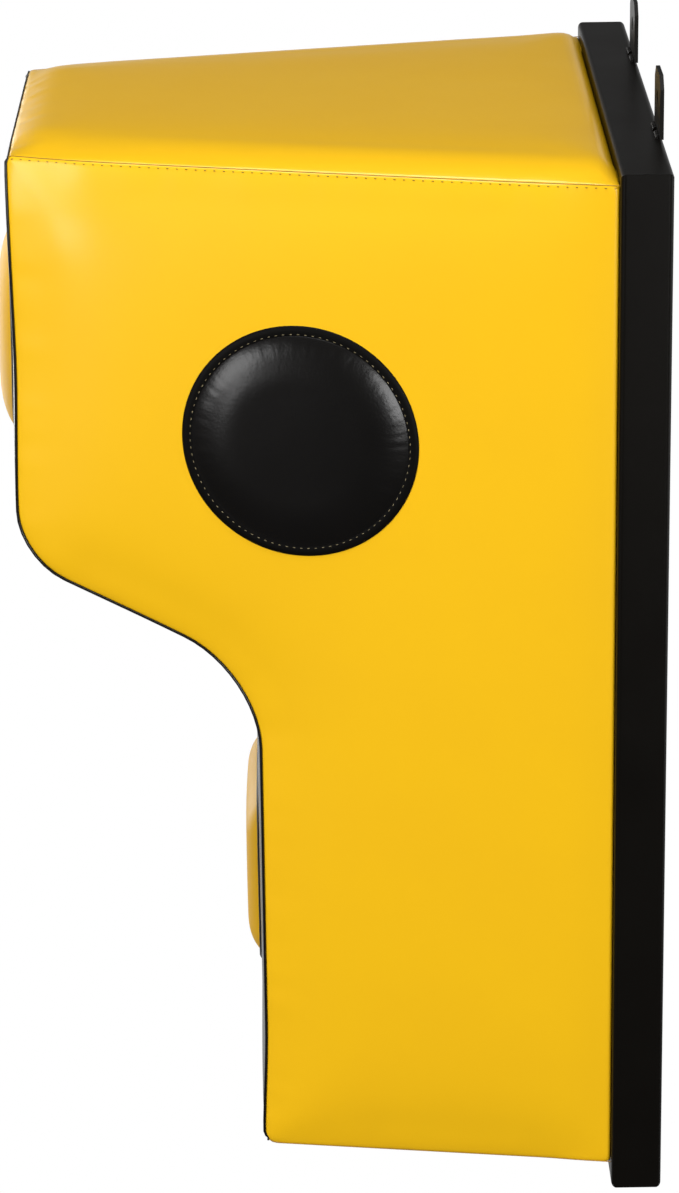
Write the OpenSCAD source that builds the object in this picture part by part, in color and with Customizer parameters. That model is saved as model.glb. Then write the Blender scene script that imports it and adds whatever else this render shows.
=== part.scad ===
// Wall-mounted uppercut target: a padded head-and-torso body on a square-tube steel frame.
// Millimetres. +Z is up, the front faces -Y, and the wall plane is y = 0. The origin is midway
// between the two wall bolts, on the wall plane.

/* [Frame] */
// Width of the steel frame
frame_w = 500; // [440:10:560]
// Height of the steel frame
frame_h = 800; // [760:10:900]
// Side of the square tube
tube = 38; // [30:1:50]
// Wall of the square tube
tube_wall = 2; // [1.5:0.5:3]
// Outer corner radius of the square tube
tube_r = 4; // [3.5:0.5:6]
// Height of the flat cross bars
bar_h = 40; // [30:5:60]
// Thickness of the flat cross bars
bar_t = 4; // [3:1:6]
// Height of the lower cross bar's middle above the frame's foot
low_bar_z = 190; // [150:10:250]
// Height of the upper cross bar's middle above the frame's foot
high_bar_z = 610; // [500:10:650]

/* [Wall lugs] */
// Distance between the two wall bolts
lug_spacing = 250; // [200:10:300]
// Width of a lug
lug_w = 50; // [40:1:60]
// Thickness of a lug
lug_t = 3; // [2:0.5:5]
// How far a lug stands up above the frame
lug_rise = 46; // [40:1:60]
// Cut-off at a lug's two top corners
lug_chamfer = 9; // [4:1:12]
// Diameter of the wall bolt hole
lug_hole = 11; // [9:0.5:14]
// Height of the wall bolt hole above the frame
lug_hole_z = 26; // [22:1:30]

/* [Body] */
// Width of the padded body where it meets the frame
back_w = 486; // [430:2:490]
// Width of the padded body at the front of the head
front_w = 294; // [240:2:360]
// How far the head stands out in front of the frame
head_d = 441; // [400:1:460]
// How far the torso stands out in front of the frame
torso_d = 264; // [230:1:300]
// Height of the top of the body above the frame's foot
body_top = 790; // [770:1:795]
// Height of the body's bottom edge at the frame
foot_back = 18; // [10:1:30]
// Height of the body's bottom edge at the front of the torso
foot_front = 10; // [5:1:30]
// Height at which the front of the head and the chin's slope would meet
chin_z = 483; // [440:1:520]
// Slope of the chin
chin_slope = 24.6; // [15:0.1:35]
// Radius of the chin
chin_r = 58; // [40:2:80]
// Radius of the neck, under the chin
neck_r = 95; // [60:1:110]
// Radius of the top and bottom front edges, seen from the side
edge_r = 11; // [6:1:20]

/* [Cover] */
// Thickness of the cover material
cover_t = 1.5; // [1:0.25:2.5]
// Width of the cover's turn-in, stapled behind the board
hem_w = 52; // [40:2:70]
// Width of the piping bead
piping_d = 2.5; // [2:0.5:6]
// Crown of one staple
staple_w = 12; // [8:1:14]
// Distance between staples
staple_pitch = 48; // [30:2:80]

/* [Board and foam] */
// Thickness of the plywood back board
board_t = 15; // [12:1:18]
// Thickness of the soft foam sheets behind the front cover
face_foam_t = 25; // [15:1:35]

/* [Fasteners] */
// Diameter of the board bolts
bolt_d = 8; // [6:1:8]
// Distance between neighbouring bolts along a cross bar
bolt_pitch = 150; // [120:5:160]

/* [Targets] */
// Outer radius of a round side target
side_target_r = 89; // [70:1:95]
// Distance of the side target's middle in front of the frame
side_target_d = 229; // [200:1:260]
// Height of the side target's middle above the frame's foot
side_target_z = 589; // [560:1:640]
// Outer radius of the round head target
head_target_r = 88; // [70:1:95]
// Height of the head target's middle above the frame's foot
head_target_z = 625; // [600:1:660]
// Width of the oblong torso target
torso_target_w = 200; // [170:2:250]
// Height of the oblong torso target
torso_target_h = 138; // [120:2:190]
// Height of the torso target's middle above the frame's foot
torso_target_z = 188; // [150:1:220]
// Corner radius of the torso target
torso_target_r = 30; // [20:1:50]
// Width of the flat stitched rim around every target
rim_w = 7; // [5:0.5:10]
// How far the side targets stand proud
side_target_t = 13; // [10:1:20]
// How far the head target stands proud
head_target_t = 17; // [12:1:22]
// How far the torso target stands proud
torso_target_t = 15; // [10:1:20]

/* [Hidden] */
$fn = 96;

steel_black = [0.08, 0.08, 0.08];
cover_yellow = [0.99, 0.77, 0.09];
cover_black = [0.09, 0.085, 0.08];
foam_grey = [0.62, 0.62, 0.6];
plywood = [0.76, 0.6, 0.4];
zinc = [0.72, 0.73, 0.75];
lining_grey = [0.16, 0.16, 0.17];

big = 1000;                                // longer than the whole target
past = 10;                                 // how far a plan shape runs past the body's front and back
poke = 1;                                  // how far a hole's cutter runs past a face
deep = 100;                                // length of a cutter that runs through the board and its cover
foot_z = -(frame_h + lug_hole_z);          // the frame's foot, below the wall bolts
top_z = foot_z + frame_h;
taper = (back_w - front_w) / 2 / head_d;   // how fast each side closes in towards the front
side_angle = atan(taper);
neck_z = chin_z - (head_d - torso_d) * tan(chin_slope);
arc_steps = 10;                            // straight steps in one rounded corner of the outline
bolt_hole = bolt_d + 1;
bolt_head_t = 5.3;
bolt_head_w = 13;
bolt_l = 20;
washer_t = 1.6;
washer_d = 16;
washer_play = 0.4;                         // how much wider a washer's hole is than its bolt
tee_flange_d = 20;
tee_flange_t = 1.5;
tee_barrel_d = 10;
tee_barrel_l = 9;
tee_play = 0.2;                            // clearance round a tee nut
staple_t = 0.7;
staple_gap = 2;                            // smallest gap between a staple and a cross bar
foot_strip = 10;                           // strip above the body's foot that belongs to the torso block
block_split_z = 392;                       // where the torso block ends and the head block starts
chin_foot_z = 340;                         // where the torso's face sheet ends
chin_head_z = 470;                         // where the head's face sheet starts

// --- Places -----------------------------------------------------------------------------------

// A side-view point from its distance in front of the frame and its height above the frame's foot
function side_pt(d, v) = [-tube - d, foot_z + v];

// Unit vector along a step in the side view
function unit(p) = p / norm(p);

// Corners of the body's side outline as [distance, height, radius], clockwise from the rear top
function corners() = [
    [0, body_top, 0],
    [head_d, body_top, edge_r],
    [head_d, chin_z, chin_r],
    [torso_d, neck_z, -neck_r],
    [torso_d, foot_front, edge_r],
    [0, foot_back, 0]
];

// Corner i moved inwards by t, square to both of its edges
function inset_corner(c, i, t) =
    let (n = len(c),
         p = [c[i][0], c[i][1]],
         before = unit(p - [c[(i + n - 1) % n][0], c[(i + n - 1) % n][1]]),
         after = unit([c[(i + 1) % n][0], c[(i + 1) % n][1]] - p),
         n1 = [before[1], -before[0]],
         n2 = [after[1], -after[0]])
    concat(p + t * (n1 + n2) / (1 + n1 * n2), [c[i][2] == 0 ? 0 : c[i][2] - t]);

// Points of the arc that rounds corner i; a negative radius is a hollow corner
function rounded(c, i) =
    let (n = len(c),
         p = [c[i][0], c[i][1]],
         r = abs(c[i][2]),
         a = unit([c[(i + n - 1) % n][0], c[(i + n - 1) % n][1]] - p),
         b = unit([c[(i + 1) % n][0], c[(i + 1) % n][1]] - p),
         half = acos(a * b) / 2,
         middle = p + unit(a + b) * r / sin(half),
         start = p + a * r / tan(half) - middle,
         turn = (c[i][2] > 0 ? -1 : 1) * (180 - 2 * half))
    r == 0 ? [p] : [for (k = [0:arc_steps])
        let (w = turn * k / arc_steps)
        middle + [start[0] * cos(w) - start[1] * sin(w), start[0] * sin(w) + start[1] * cos(w)]];

// The body's side outline, moved inwards by t
function outline(t) =
    let (c = corners(), moved = [for (i = [0:len(c) - 1]) inset_corner(c, i, t)])
    [for (i = [0:len(c) - 1]) for (p = rounded(moved, i)) side_pt(p[0], p[1])];

// Half the body's width at distance d in front of the frame, moved inwards by t
function half_w(d, t) = back_w / 2 - taper * d - t / cos(side_angle);

// --- Shared shapes ----------------------------------------------------------------------------

// A side-view shape, extruded across the whole width
module across() {
    translate([-big / 2, 0, 0]) rotate([90, 0, 90]) linear_extrude(big) children();
}

// A plan-view shape, extruded through the whole height
module upright() {
    translate([0, 0, foot_z - big / 4]) linear_extrude(frame_h + big / 2) children();
}

// Side-view rectangle between two distances and two heights
module side_box(d0, d1, v0, v1) {
    polygon([side_pt(d0, v0), side_pt(d1, v0), side_pt(d1, v1), side_pt(d0, v1)]);
}

// Plan of the tapering body, moved inwards by t
module plan(t) {
    polygon([
        [-half_w(-past, t), past - tube], [half_w(-past, t), past - tube],
        [half_w(head_d + past, t), -tube - head_d - past],
        [-half_w(head_d + past, t), -tube - head_d - past]
    ]);
}

// The whole padded body, moved inwards by t
module body_solid(t) {
    intersection() {
        across() polygon(outline(t));
        upright() plan(t);
    }
}

// Side view of the cover's skin, all round the body
module skin_area() {
    difference() {
        polygon(outline(0));
        polygon(outline(cover_t));
    }
}

// One strip of plan along side s, from t_in inside the body's side to t_out outside it
module side_strip(s, t_in, t_out) {
    polygon([
        [s * half_w(-past, t_in), past - tube], [s * half_w(-past, -t_out), past - tube],
        [s * half_w(head_d + past, -t_out), -tube - head_d - past],
        [s * half_w(head_d + past, t_in), -tube - head_d - past]
    ]);
}

// Rectangle of w by h with corners of radius r, middled on the origin
module rounded_rect(w, h, r) {
    square([w - 2 * r, h], center = true);
    square([w, h - 2 * r], center = true);
    for (x = [-1, 1], y = [-1, 1]) translate([x * (w / 2 - r), y * (h / 2 - r)]) circle(r);
}

// Square tube of length l along Z, mitred at both ends so that its +X side stays full length
module mitred_tube(l) {
    intersection() {
        translate([0, 0, -l / 2]) linear_extrude(l) difference() {
            rounded_rect(tube, tube, tube_r);
            rounded_rect(tube - 2 * tube_wall, tube - 2 * tube_wall, tube_r - tube_wall);
        }
        rotate([90, 0, 0]) linear_extrude(tube + 2 * poke, center = true) polygon([
            [tube / 2, -l / 2], [tube / 2, l / 2], [-tube / 2, l / 2 - tube], [-tube / 2, tube - l / 2]
        ]);
    }
}

// Repeats a piece at every board bolt, at the wall-side face of the cross bars
module at_bolts() {
    for (v = [low_bar_z, high_bar_z], x = [-1:1])
        translate([x * bolt_pitch, -tube + bar_t, foot_z + v]) rotate([90, 0, 0]) children();
}

// --- Steel frame ------------------------------------------------------------------------------

module level_rail(top) {
    z = top ? top_z - tube / 2 : foot_z + tube / 2;
    color(steel_black) translate([0, -tube / 2, z]) rotate([0, top ? -90 : 90, 0]) mitred_tube(frame_w);
}

module upright_rail(s) {
    color(steel_black) translate([s * (frame_w - tube) / 2, -tube / 2, foot_z + frame_h / 2])
        rotate([0, 0, s > 0 ? 0 : 180]) mitred_tube(frame_h);
}

module frame_top_rail() { level_rail(true); }

module frame_bottom_rail() { level_rail(false); }

module frame_left_rail() { upright_rail(-1); }

module frame_right_rail() { upright_rail(1); }

// Flat bar between the upright rails, flush with their front faces
module cross_bar(v) {
    color(steel_black) difference() {
        translate([tube - frame_w / 2, -tube, foot_z + v - bar_h / 2])
            cube([frame_w - 2 * tube, bar_t, bar_h]);
        at_bolts() cylinder(d = bolt_hole, h = 2 * (bar_t + poke), center = true);
    }
}

module upper_cross_bar() { cross_bar(high_bar_z); }

module lower_cross_bar() { cross_bar(low_bar_z); }

// Flat lug welded on the top rail, flush with the wall plane
module wall_lug(s) {
    color(steel_black) translate([s * lug_spacing / 2, 0, 0]) rotate([90, 0, 0]) difference() {
        linear_extrude(lug_t) polygon([
            [-lug_w / 2, -lug_hole_z], [lug_w / 2, -lug_hole_z],
            [lug_w / 2, lug_rise - lug_hole_z - lug_chamfer],
            [lug_w / 2 - lug_chamfer, lug_rise - lug_hole_z],
            [lug_chamfer - lug_w / 2, lug_rise - lug_hole_z],
            [-lug_w / 2, lug_rise - lug_hole_z - lug_chamfer]
        ]);
        translate([0, 0, -poke]) cylinder(d = lug_hole, h = lug_t + 2 * poke);
    }
}

module wall_lug_left() { wall_lug(-1); }

module wall_lug_right() { wall_lug(1); }

// --- Board and its fasteners ------------------------------------------------------------------

module back_board() {
    color(plywood) difference() {
        intersection() {
            body_solid(cover_t);
            across() side_box(cover_t, cover_t + board_t, 0, frame_h);
        }
        at_bolts() {
            cylinder(d = bolt_hole, h = deep);
            translate([0, 0, bar_t + cover_t + board_t - tee_flange_t - tee_barrel_l - poke])
                cylinder(d = tee_barrel_d + 2 * tee_play, h = deep);
            translate([0, 0, bar_t + cover_t + board_t - tee_flange_t])
                cylinder(d = tee_flange_d + 2 * tee_play, h = deep);
        }
    }
}

module board_bolts() {
    color(zinc) at_bolts() {
        translate([0, 0, -washer_t - bolt_head_t])
            cylinder(d = bolt_head_w / cos(30), h = bolt_head_t, $fn = 6);
        translate([0, 0, -washer_t]) cylinder(d = bolt_d, h = bolt_l);
    }
}

module board_washers() {
    color(zinc) at_bolts() translate([0, 0, -washer_t]) difference() {
        cylinder(d = washer_d, h = washer_t);
        translate([0, 0, -poke]) cylinder(d = bolt_d + washer_play, h = washer_t + 2 * poke);
    }
}

module tee_nuts() {
    color(zinc) at_bolts() translate([0, 0, bar_t + cover_t + board_t]) difference() {
        union() {
            translate([0, 0, -tee_flange_t]) cylinder(d = tee_flange_d, h = tee_flange_t);
            translate([0, 0, -tee_flange_t - tee_barrel_l])
                cylinder(d = tee_barrel_d, h = tee_barrel_l + tee_flange_t / 2);
        }
        cylinder(d = bolt_d + tee_play, h = deep, center = true);
    }
}

// --- Foam -------------------------------------------------------------------------------------

// Side view of everything behind the soft face sheets
module behind_face() {
    translate([face_foam_t, 0]) polygon(outline(cover_t));
    side_box(0, torso_d - face_foam_t - edge_r, 0, foot_back + foot_strip);
}

// One foam block between the board and the face sheets, from height v0 to v1
module foam_block(v0, v1) {
    color(foam_grey) intersection() {
        upright() plan(cover_t);
        across() intersection() {
            polygon(outline(cover_t));
            behind_face();
            side_box(cover_t + board_t, big / 2, v0, v1);
        }
    }
}

// One soft face sheet, from height v0 to v1
module face_foam(v0, v1) {
    color(foam_grey) intersection() {
        upright() plan(cover_t);
        across() intersection() {
            difference() {
                polygon(outline(cover_t));
                behind_face();
            }
            side_box(0, big / 2, v0, v1);
        }
    }
}

module torso_foam_block() { foam_block(0, block_split_z); }

module head_foam_block() { foam_block(block_split_z, frame_h); }

module torso_face_foam() { face_foam(0, chin_foot_z); }

module chin_foam() { face_foam(chin_foot_z, chin_head_z); }

module head_face_foam() { face_foam(chin_head_z, frame_h); }

// --- Cover ------------------------------------------------------------------------------------

// A side-view shape, extruded over the side turn-in of side s, or between both for s = 0
module across_hem(s) {
    inner = back_w / 2 - hem_w;
    x0 = s == 0 ? -inner : s > 0 ? inner : -back_w / 2;
    translate([x0, 0, 0]) rotate([90, 0, 90]) linear_extrude(s == 0 ? 2 * inner : hem_w) children();
}

// Side panel with its turn-in, on side s
module side_cover(s) {
    color(cover_yellow) {
        intersection() {
            across() polygon(outline(0));
            upright() side_strip(s, cover_t, 0);
        }
        intersection() {
            upright() plan(cover_t);
            across_hem(s) intersection() {
                polygon(outline(0));
                side_box(0, cover_t, 0, frame_h);
            }
        }
    }
}

// The part of the skin between the side panels that lies in a side-view shape
module middle_cover() {
    intersection() {
        upright() plan(cover_t);
        across() intersection() {
            skin_area();
            children();
        }
    }
}

// The part of the turn-in plane between the side turn-ins, from height v0 to v1
module middle_hem(v0, v1) {
    across_hem(0) intersection() {
        polygon(outline(0));
        side_box(0, cover_t, v0, v1);
    }
}

module top_cover() {
    color(cover_yellow) {
        middle_cover() side_box(cover_t, head_d - edge_r, body_top - edge_r, frame_h);
        middle_hem(body_top - hem_w, frame_h);
    }
}

module bottom_cover() {
    color(cover_yellow) {
        middle_cover() side_box(cover_t, torso_d - edge_r, 0, foot_back + edge_r);
        middle_hem(0, foot_back + hem_w);
    }
}

module front_cover() {
    color(cover_black) middle_cover() difference() {
        side_box(torso_d / 2, big / 2, 0, frame_h);
        side_box(0, head_d - edge_r, body_top - edge_r, frame_h);
        side_box(0, torso_d - edge_r, 0, foot_back + edge_r);
    }
}

module side_cover_left() { side_cover(-1); }

module side_cover_right() { side_cover(1); }

// Bead along the front edge of the side panel on side s
module piping(s) {
    color(cover_black) intersection() {
        across() difference() {
            polygon(outline(-piping_d));
            polygon(outline(0));
            side_box(-big, head_d - edge_r, body_top - edge_r, frame_h);
            side_box(-big, torso_d - edge_r, -frame_h, foot_back + edge_r);
            side_box(-big, 0, -frame_h, 2 * frame_h);
        }
        upright() side_strip(s, piping_d, 0);
    }
}

module piping_left() { piping(-1); }

module piping_right() { piping(1); }

// Non-woven sheet that closes the back of the board between the turn-ins
module rear_lining() {
    color(lining_grey) difference() {
        middle_hem(foot_back + hem_w, body_top - hem_w);
        at_bolts() cylinder(d = bolt_hole, h = deep);
    }
}

// Staples along the inner edge of the turn-ins, inside the frame's opening
module hem_staples() {
    inner_w = frame_w / 2 - tube - staple_w / 2;
    span = frame_h - 2 * tube;
    rows = floor(span / staple_pitch);
    columns = floor(2 * inner_w / staple_pitch);
    color(zinc) {
        for (s = [-1, 1], k = [0:rows - 1])
            translate([s * inner_w, 0, foot_z + frame_h / 2 + (k - (rows - 1) / 2) * staple_pitch])
                if (clear_of_bars(k, rows)) staple(90);
        for (v = [tube + staple_w / 2, frame_h - tube - staple_w / 2], k = [1:columns - 2])
            translate([(k - (columns - 1) / 2) * staple_pitch, 0, foot_z + v]) staple(0);
    }
}

// Whether staple k of a side row is clear of both cross bars
function clear_of_bars(k, rows) =
    let (v = frame_h / 2 + (k - (rows - 1) / 2) * staple_pitch)
    min(abs(v - low_bar_z), abs(v - high_bar_z)) > (bar_h + staple_w) / 2 + staple_gap;

// The crown of one staple, lying on the turn-in and turned by a
module staple(a) {
    rotate([0, a, 0]) translate([-staple_w / 2, -tube, -staple_t]) cube([staple_w, staple_t, 2 * staple_t]);
}

// --- Targets ----------------------------------------------------------------------------------

// Half section of a dome of radius r and height h
module dome_section(r, h) {
    sphere_r = (r * r + h * h) / (2 * h);
    intersection() {
        translate([0, h - sphere_r]) circle(sphere_r, $fn = 180);
        square([r, h]);
    }
}

module round_base(r) { cylinder(r = r, h = cover_t); }

module round_foam(r, t) {
    translate([0, 0, cover_t]) rotate_extrude() dome_section(r - rim_w - cover_t, t - 2 * cover_t);
}

module round_cover(r, t) {
    translate([0, 0, cover_t]) rotate_extrude() difference() {
        union() {
            dome_section(r - rim_w, t - cover_t);
            square([r, cover_t]);
        }
        dome_section(r - rim_w - cover_t, t - 2 * cover_t);
    }
}

module oblong_slab(inset, h) {
    linear_extrude(h)
        rounded_rect(torso_target_w - 2 * inset, torso_target_h - 2 * inset, torso_target_r - inset);
}

// Puts a target, built on its base along +Z, on side panel s
module on_side(s) {
    translate([s * half_w(side_target_d, 0), -tube - side_target_d, foot_z + side_target_z])
        rotate([0, 0, s > 0 ? -side_angle : 180 + side_angle]) rotate([0, 90, 0]) children();
}

// Puts a target, built on its base along +Z, on the front cover
module on_front(d, v) {
    translate([0, -tube - d, foot_z + v]) rotate([90, 0, 0]) children();
}

module side_target_base(s) { color(cover_black) on_side(s) round_base(side_target_r); }

module side_target_foam(s) {
    color(foam_grey) on_side(s) round_foam(side_target_r, side_target_t);
}

module side_target_cover(s) {
    color(cover_black) on_side(s) round_cover(side_target_r, side_target_t);
}

module side_target_base_left() { side_target_base(-1); }

module side_target_foam_left() { side_target_foam(-1); }

module side_target_cover_left() { side_target_cover(-1); }

module side_target_base_right() { side_target_base(1); }

module side_target_foam_right() { side_target_foam(1); }

module side_target_cover_right() { side_target_cover(1); }

module head_target_base() {
    color(cover_black) on_front(head_d, head_target_z) round_base(head_target_r);
}

module head_target_foam() {
    color(foam_grey) on_front(head_d, head_target_z) round_foam(head_target_r, head_target_t);
}

module head_target_cover() {
    color(cover_yellow) on_front(head_d, head_target_z) round_cover(head_target_r, head_target_t);
}

module torso_target_base() {
    color(cover_black) on_front(torso_d, torso_target_z) oblong_slab(0, cover_t);
}

module torso_target_foam() {
    color(foam_grey) on_front(torso_d, torso_target_z)
        translate([0, 0, cover_t]) oblong_slab(rim_w + cover_t, torso_target_t - 2 * cover_t);
}

module torso_target_cover() {
    color(cover_yellow) on_front(torso_d, torso_target_z) translate([0, 0, cover_t]) difference() {
        union() {
            oblong_slab(0, cover_t);
            oblong_slab(rim_w, torso_target_t - cover_t);
        }
        translate([0, 0, -poke]) oblong_slab(rim_w + cover_t, torso_target_t - 2 * cover_t + poke);
    }
}

frame_top_rail();
frame_bottom_rail();
frame_left_rail();
frame_right_rail();
upper_cross_bar();
lower_cross_bar();
wall_lug_left();
wall_lug_right();
back_board();
board_bolts();
board_washers();
tee_nuts();
head_foam_block();
torso_foam_block();
head_face_foam();
chin_foam();
torso_face_foam();
side_cover_left();
side_cover_right();
top_cover();
bottom_cover();
front_cover();
piping_left();
piping_right();
rear_lining();
hem_staples();
side_target_base_left();
side_target_foam_left();
side_target_cover_left();
side_target_base_right();
side_target_foam_right();
side_target_cover_right();
head_target_base();
head_target_foam();
head_target_cover();
torso_target_base();
torso_target_foam();
torso_target_cover();
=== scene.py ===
"""Looks of the wall-mounted uppercut target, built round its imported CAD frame.

The padded body is one closed mesh that is inflated as cloth, then cut into its sewn panels. The
strike pads, piping, stitches and foam follow the inflated body. The steel keeps its CAD meshes.
"""

import logging
import math
from collections.abc import Callable, Iterable, Sequence
from dataclasses import dataclass
from enum import Enum, IntEnum

import bmesh
import bpy
from bmesh.types import BMEdge, BMesh, BMFace, BMLayerItem, BMVert
from bpy.types import Material, Mesh, Node, NodeSocket, NodeTree, Object
from mathutils import Matrix, Vector, noise
from mathutils.bvhtree import BVHTree
from mathutils.kdtree import KDTree


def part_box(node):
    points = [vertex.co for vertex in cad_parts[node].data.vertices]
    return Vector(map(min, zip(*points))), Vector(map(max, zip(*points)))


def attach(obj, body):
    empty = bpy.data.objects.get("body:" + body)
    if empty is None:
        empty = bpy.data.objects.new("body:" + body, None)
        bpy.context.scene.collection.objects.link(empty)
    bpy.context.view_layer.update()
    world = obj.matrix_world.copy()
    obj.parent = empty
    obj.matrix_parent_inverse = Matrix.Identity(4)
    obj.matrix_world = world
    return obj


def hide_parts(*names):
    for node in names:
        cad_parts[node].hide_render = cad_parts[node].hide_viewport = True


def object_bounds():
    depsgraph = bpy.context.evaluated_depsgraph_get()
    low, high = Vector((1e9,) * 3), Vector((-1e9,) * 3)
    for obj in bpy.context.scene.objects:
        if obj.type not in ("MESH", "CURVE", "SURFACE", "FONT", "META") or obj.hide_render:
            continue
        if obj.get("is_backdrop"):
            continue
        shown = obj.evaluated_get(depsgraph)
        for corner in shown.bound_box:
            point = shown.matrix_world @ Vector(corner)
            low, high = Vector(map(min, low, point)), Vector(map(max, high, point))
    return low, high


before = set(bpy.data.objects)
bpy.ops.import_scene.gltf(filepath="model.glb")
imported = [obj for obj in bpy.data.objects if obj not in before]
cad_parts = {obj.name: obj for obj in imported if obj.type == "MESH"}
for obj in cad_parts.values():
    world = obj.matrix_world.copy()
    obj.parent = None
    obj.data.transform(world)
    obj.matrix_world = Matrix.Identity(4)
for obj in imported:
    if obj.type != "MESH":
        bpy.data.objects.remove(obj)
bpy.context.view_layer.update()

log = logging.getLogger("uppercut_target")
MM = 0.001
TOUCHING = 1e-6
Colour = tuple[float, float, float, float]


# --- Small tools --------------------------------------------------------------------------------


def linear(colour: str) -> Colour:
    """Turns an sRGB hex colour to linear RGBA.

    Args:
        colour: The colour, such as "#ffcc22".

    Returns:
        Linear red, green, blue and an alpha of 1.
    """
    parts = [int(colour[i : i + 2], 16) / 255 for i in (1, 3, 5)]
    return (*(c / 12.92 if c <= 0.04045 else ((c + 0.055) / 1.055) ** 2.4 for c in parts), 1.0)


def add_node(tree: NodeTree, kind: str, inputs: dict | None = None, **settings: object) -> Node:
    """Adds a shader node, with its settings and its links.

    Args:
        tree: The node tree that the node goes into.
        kind: The node's type name, without its ShaderNode prefix.
        inputs: Input names or numbers, each with a value or with the socket that feeds it.
        **settings: The node's own settings.

    Returns:
        The new node.
    """
    node = tree.nodes.new("ShaderNode" + kind)
    for name, value in settings.items():
        setattr(node, name, value)
    for key, value in (inputs or {}).items():
        if isinstance(value, NodeSocket):
            tree.links.new(value, node.inputs[key])
        else:
            node.inputs[key].default_value = value
    return node


def smoothstep(low: float, high: float, value: float) -> float:
    """Returns 0 below low, 1 above high, and a smooth rise between them."""
    t = min(1.0, max(0.0, (value - low) / (high - low)))
    return t * t * (3 - 2 * t)


def add_piece(
    name: str,
    mesh: Mesh,
    material: Material,
    stands_for: Sequence[str] = (),
) -> Object:
    """Adds a finished mesh to the scene as a piece of the object.

    Args:
        name: The piece's name.
        mesh: Its mesh, already in place.
        material: Its finish.
        stands_for: The CAD nodes that it replaces.

    Returns:
        The new object.
    """
    piece = bpy.data.objects.new(name, mesh)
    bpy.context.scene.collection.objects.link(piece)
    mesh.materials.clear()
    mesh.materials.append(material)
    mesh.shade_smooth()
    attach(piece, "root")
    if stands_for:
        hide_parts(*stands_for)
    log.info("%s: %d faces", name, len(mesh.polygons))
    return piece


def give_wall(piece: Object, thickness: float, offset: float = -1.0) -> None:
    """Gives a piece made as a sheet its thickness.

    Args:
        piece: The piece.
        thickness: Its thickness.
        offset: -1 to grow inwards from the sheet, 0 to grow both ways.
    """
    wall = piece.modifiers.new("Thickness", "SOLIDIFY")
    wall.thickness = thickness
    wall.offset = offset


def to_mesh(name: str, bm: BMesh) -> Mesh:
    """Turns a bmesh into a mesh and frees it.

    Args:
        name: The mesh's name.
        bm: The bmesh, which can't be used afterwards.

    Returns:
        The mesh.
    """
    mesh = bpy.data.meshes.new(name)
    bm.to_mesh(mesh)
    bm.free()
    return mesh


def tube(name: str, points: Sequence[Vector], radius: float, closed: bool = False) -> Mesh:
    """Sweeps a round bead along a line.

    Args:
        name: The mesh's name.
        points: The points of the line, in order.
        radius: The bead's radius.
        closed: Whether the line joins up with its start.

    Returns:
        The bead's mesh, with closed ends.
    """
    curve = bpy.data.curves.new(name, "CURVE")
    curve.dimensions = "3D"
    curve.bevel_depth = radius
    curve.bevel_resolution = 3
    curve.use_fill_caps = not closed
    spline = curve.splines.new("POLY")
    spline.points.add(len(points) - 1)
    for target, point in zip(spline.points, points):
        target.co = (*point, 1.0)
    spline.use_cyclic_u = closed
    holder = bpy.data.objects.new(name, curve)
    mesh = bpy.data.meshes.new_from_object(holder)
    bpy.data.objects.remove(holder)
    bpy.data.curves.remove(curve)
    return mesh


def spaced(points: Sequence[Vector], pitch: float, closed: bool = False) -> list[tuple[Vector, Vector]]:
    """Walks a line in even steps.

    Args:
        points: The points of the line, in order.
        pitch: The length of a step.
        closed: Whether the line joins up with its start.

    Returns:
        The place and the direction at the middle of each step.
    """
    line = [*points, points[0]] if closed else list(points)
    lengths = [(b - a).length for a, b in zip(line, line[1:])]
    steps = max(1, round(sum(lengths) / pitch))
    step = sum(lengths) / steps
    found, travelled, k = [], 0.0, 0
    for i in range(steps):
        wanted = (i + 0.5) * step
        while k < len(lengths) - 1 and travelled + lengths[k] < wanted:
            travelled += lengths[k]
            k += 1
        along = (line[k + 1] - line[k]).normalized()
        found.append((line[k] + along * (wanted - travelled), along))
    return found


def stitches(
    name: str, points: Sequence[Vector], pitch: float, length: float, radius: float, closed: bool = False
) -> Mesh:
    """Lays a row of thread stitches along a line.

    Args:
        name: The mesh's name.
        points: The points of the line, in order.
        pitch: The distance from one stitch to the next.
        length: The visible length of a stitch.
        radius: The thread's radius.
        closed: Whether the line joins up with its start.

    Returns:
        The stitches, as one mesh of small closed capsules.
    """
    bm = bmesh.new()
    for place, along in spaced(points, pitch, closed):
        turn = along.to_track_quat("X", "Z").to_matrix().to_4x4()
        size = Matrix.Diagonal((length / 2, radius, radius, 1.0))
        bmesh.ops.create_uvsphere(
            bm, u_segments=6, v_segments=5, radius=1.0, matrix=Matrix.Translation(place) @ turn @ size
        )
    return to_mesh(name, bm)


def point_tree(points: Sequence[Vector | tuple[float, float, float]]) -> KDTree:
    """Builds a tree that finds the nearest of some points.

    Args:
        points: The points.

    Returns:
        The tree, which numbers them in their order.
    """
    tree = KDTree(len(points))
    for i, point in enumerate(points):
        tree.insert(point, i)
    tree.balance()
    return tree


def shift(bm: BMesh, moves: Sequence[Vector]) -> None:
    """Moves every point of a mesh at once and brings its normals up to date."""
    for vert, move in zip(bm.verts, moves):
        vert.co += move
    bm.normal_update()


def chain(edges: Iterable[BMEdge]) -> list[BMVert]:
    """Puts the points of a run of joined edges in order.

    Args:
        edges: The edges of one open or closed run.

    Returns:
        The points from one end to the other.
    """
    links: dict[BMVert, list[BMVert]] = {}
    for edge in edges:
        a, b = edge.verts
        links.setdefault(a, []).append(b)
        links.setdefault(b, []).append(a)
    ends = sorted((v for v in links if len(links[v]) == 1), key=lambda v: (v.co.z, v.co.x))
    here = ends[-1] if ends else next(iter(links))
    path, seen = [], set()
    while here is not None:
        path.append(here)
        seen.add(here)
        here = next((v for v in links[here] if v not in seen), None)
    return path


# --- Finishes -----------------------------------------------------------------------------------


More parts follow.
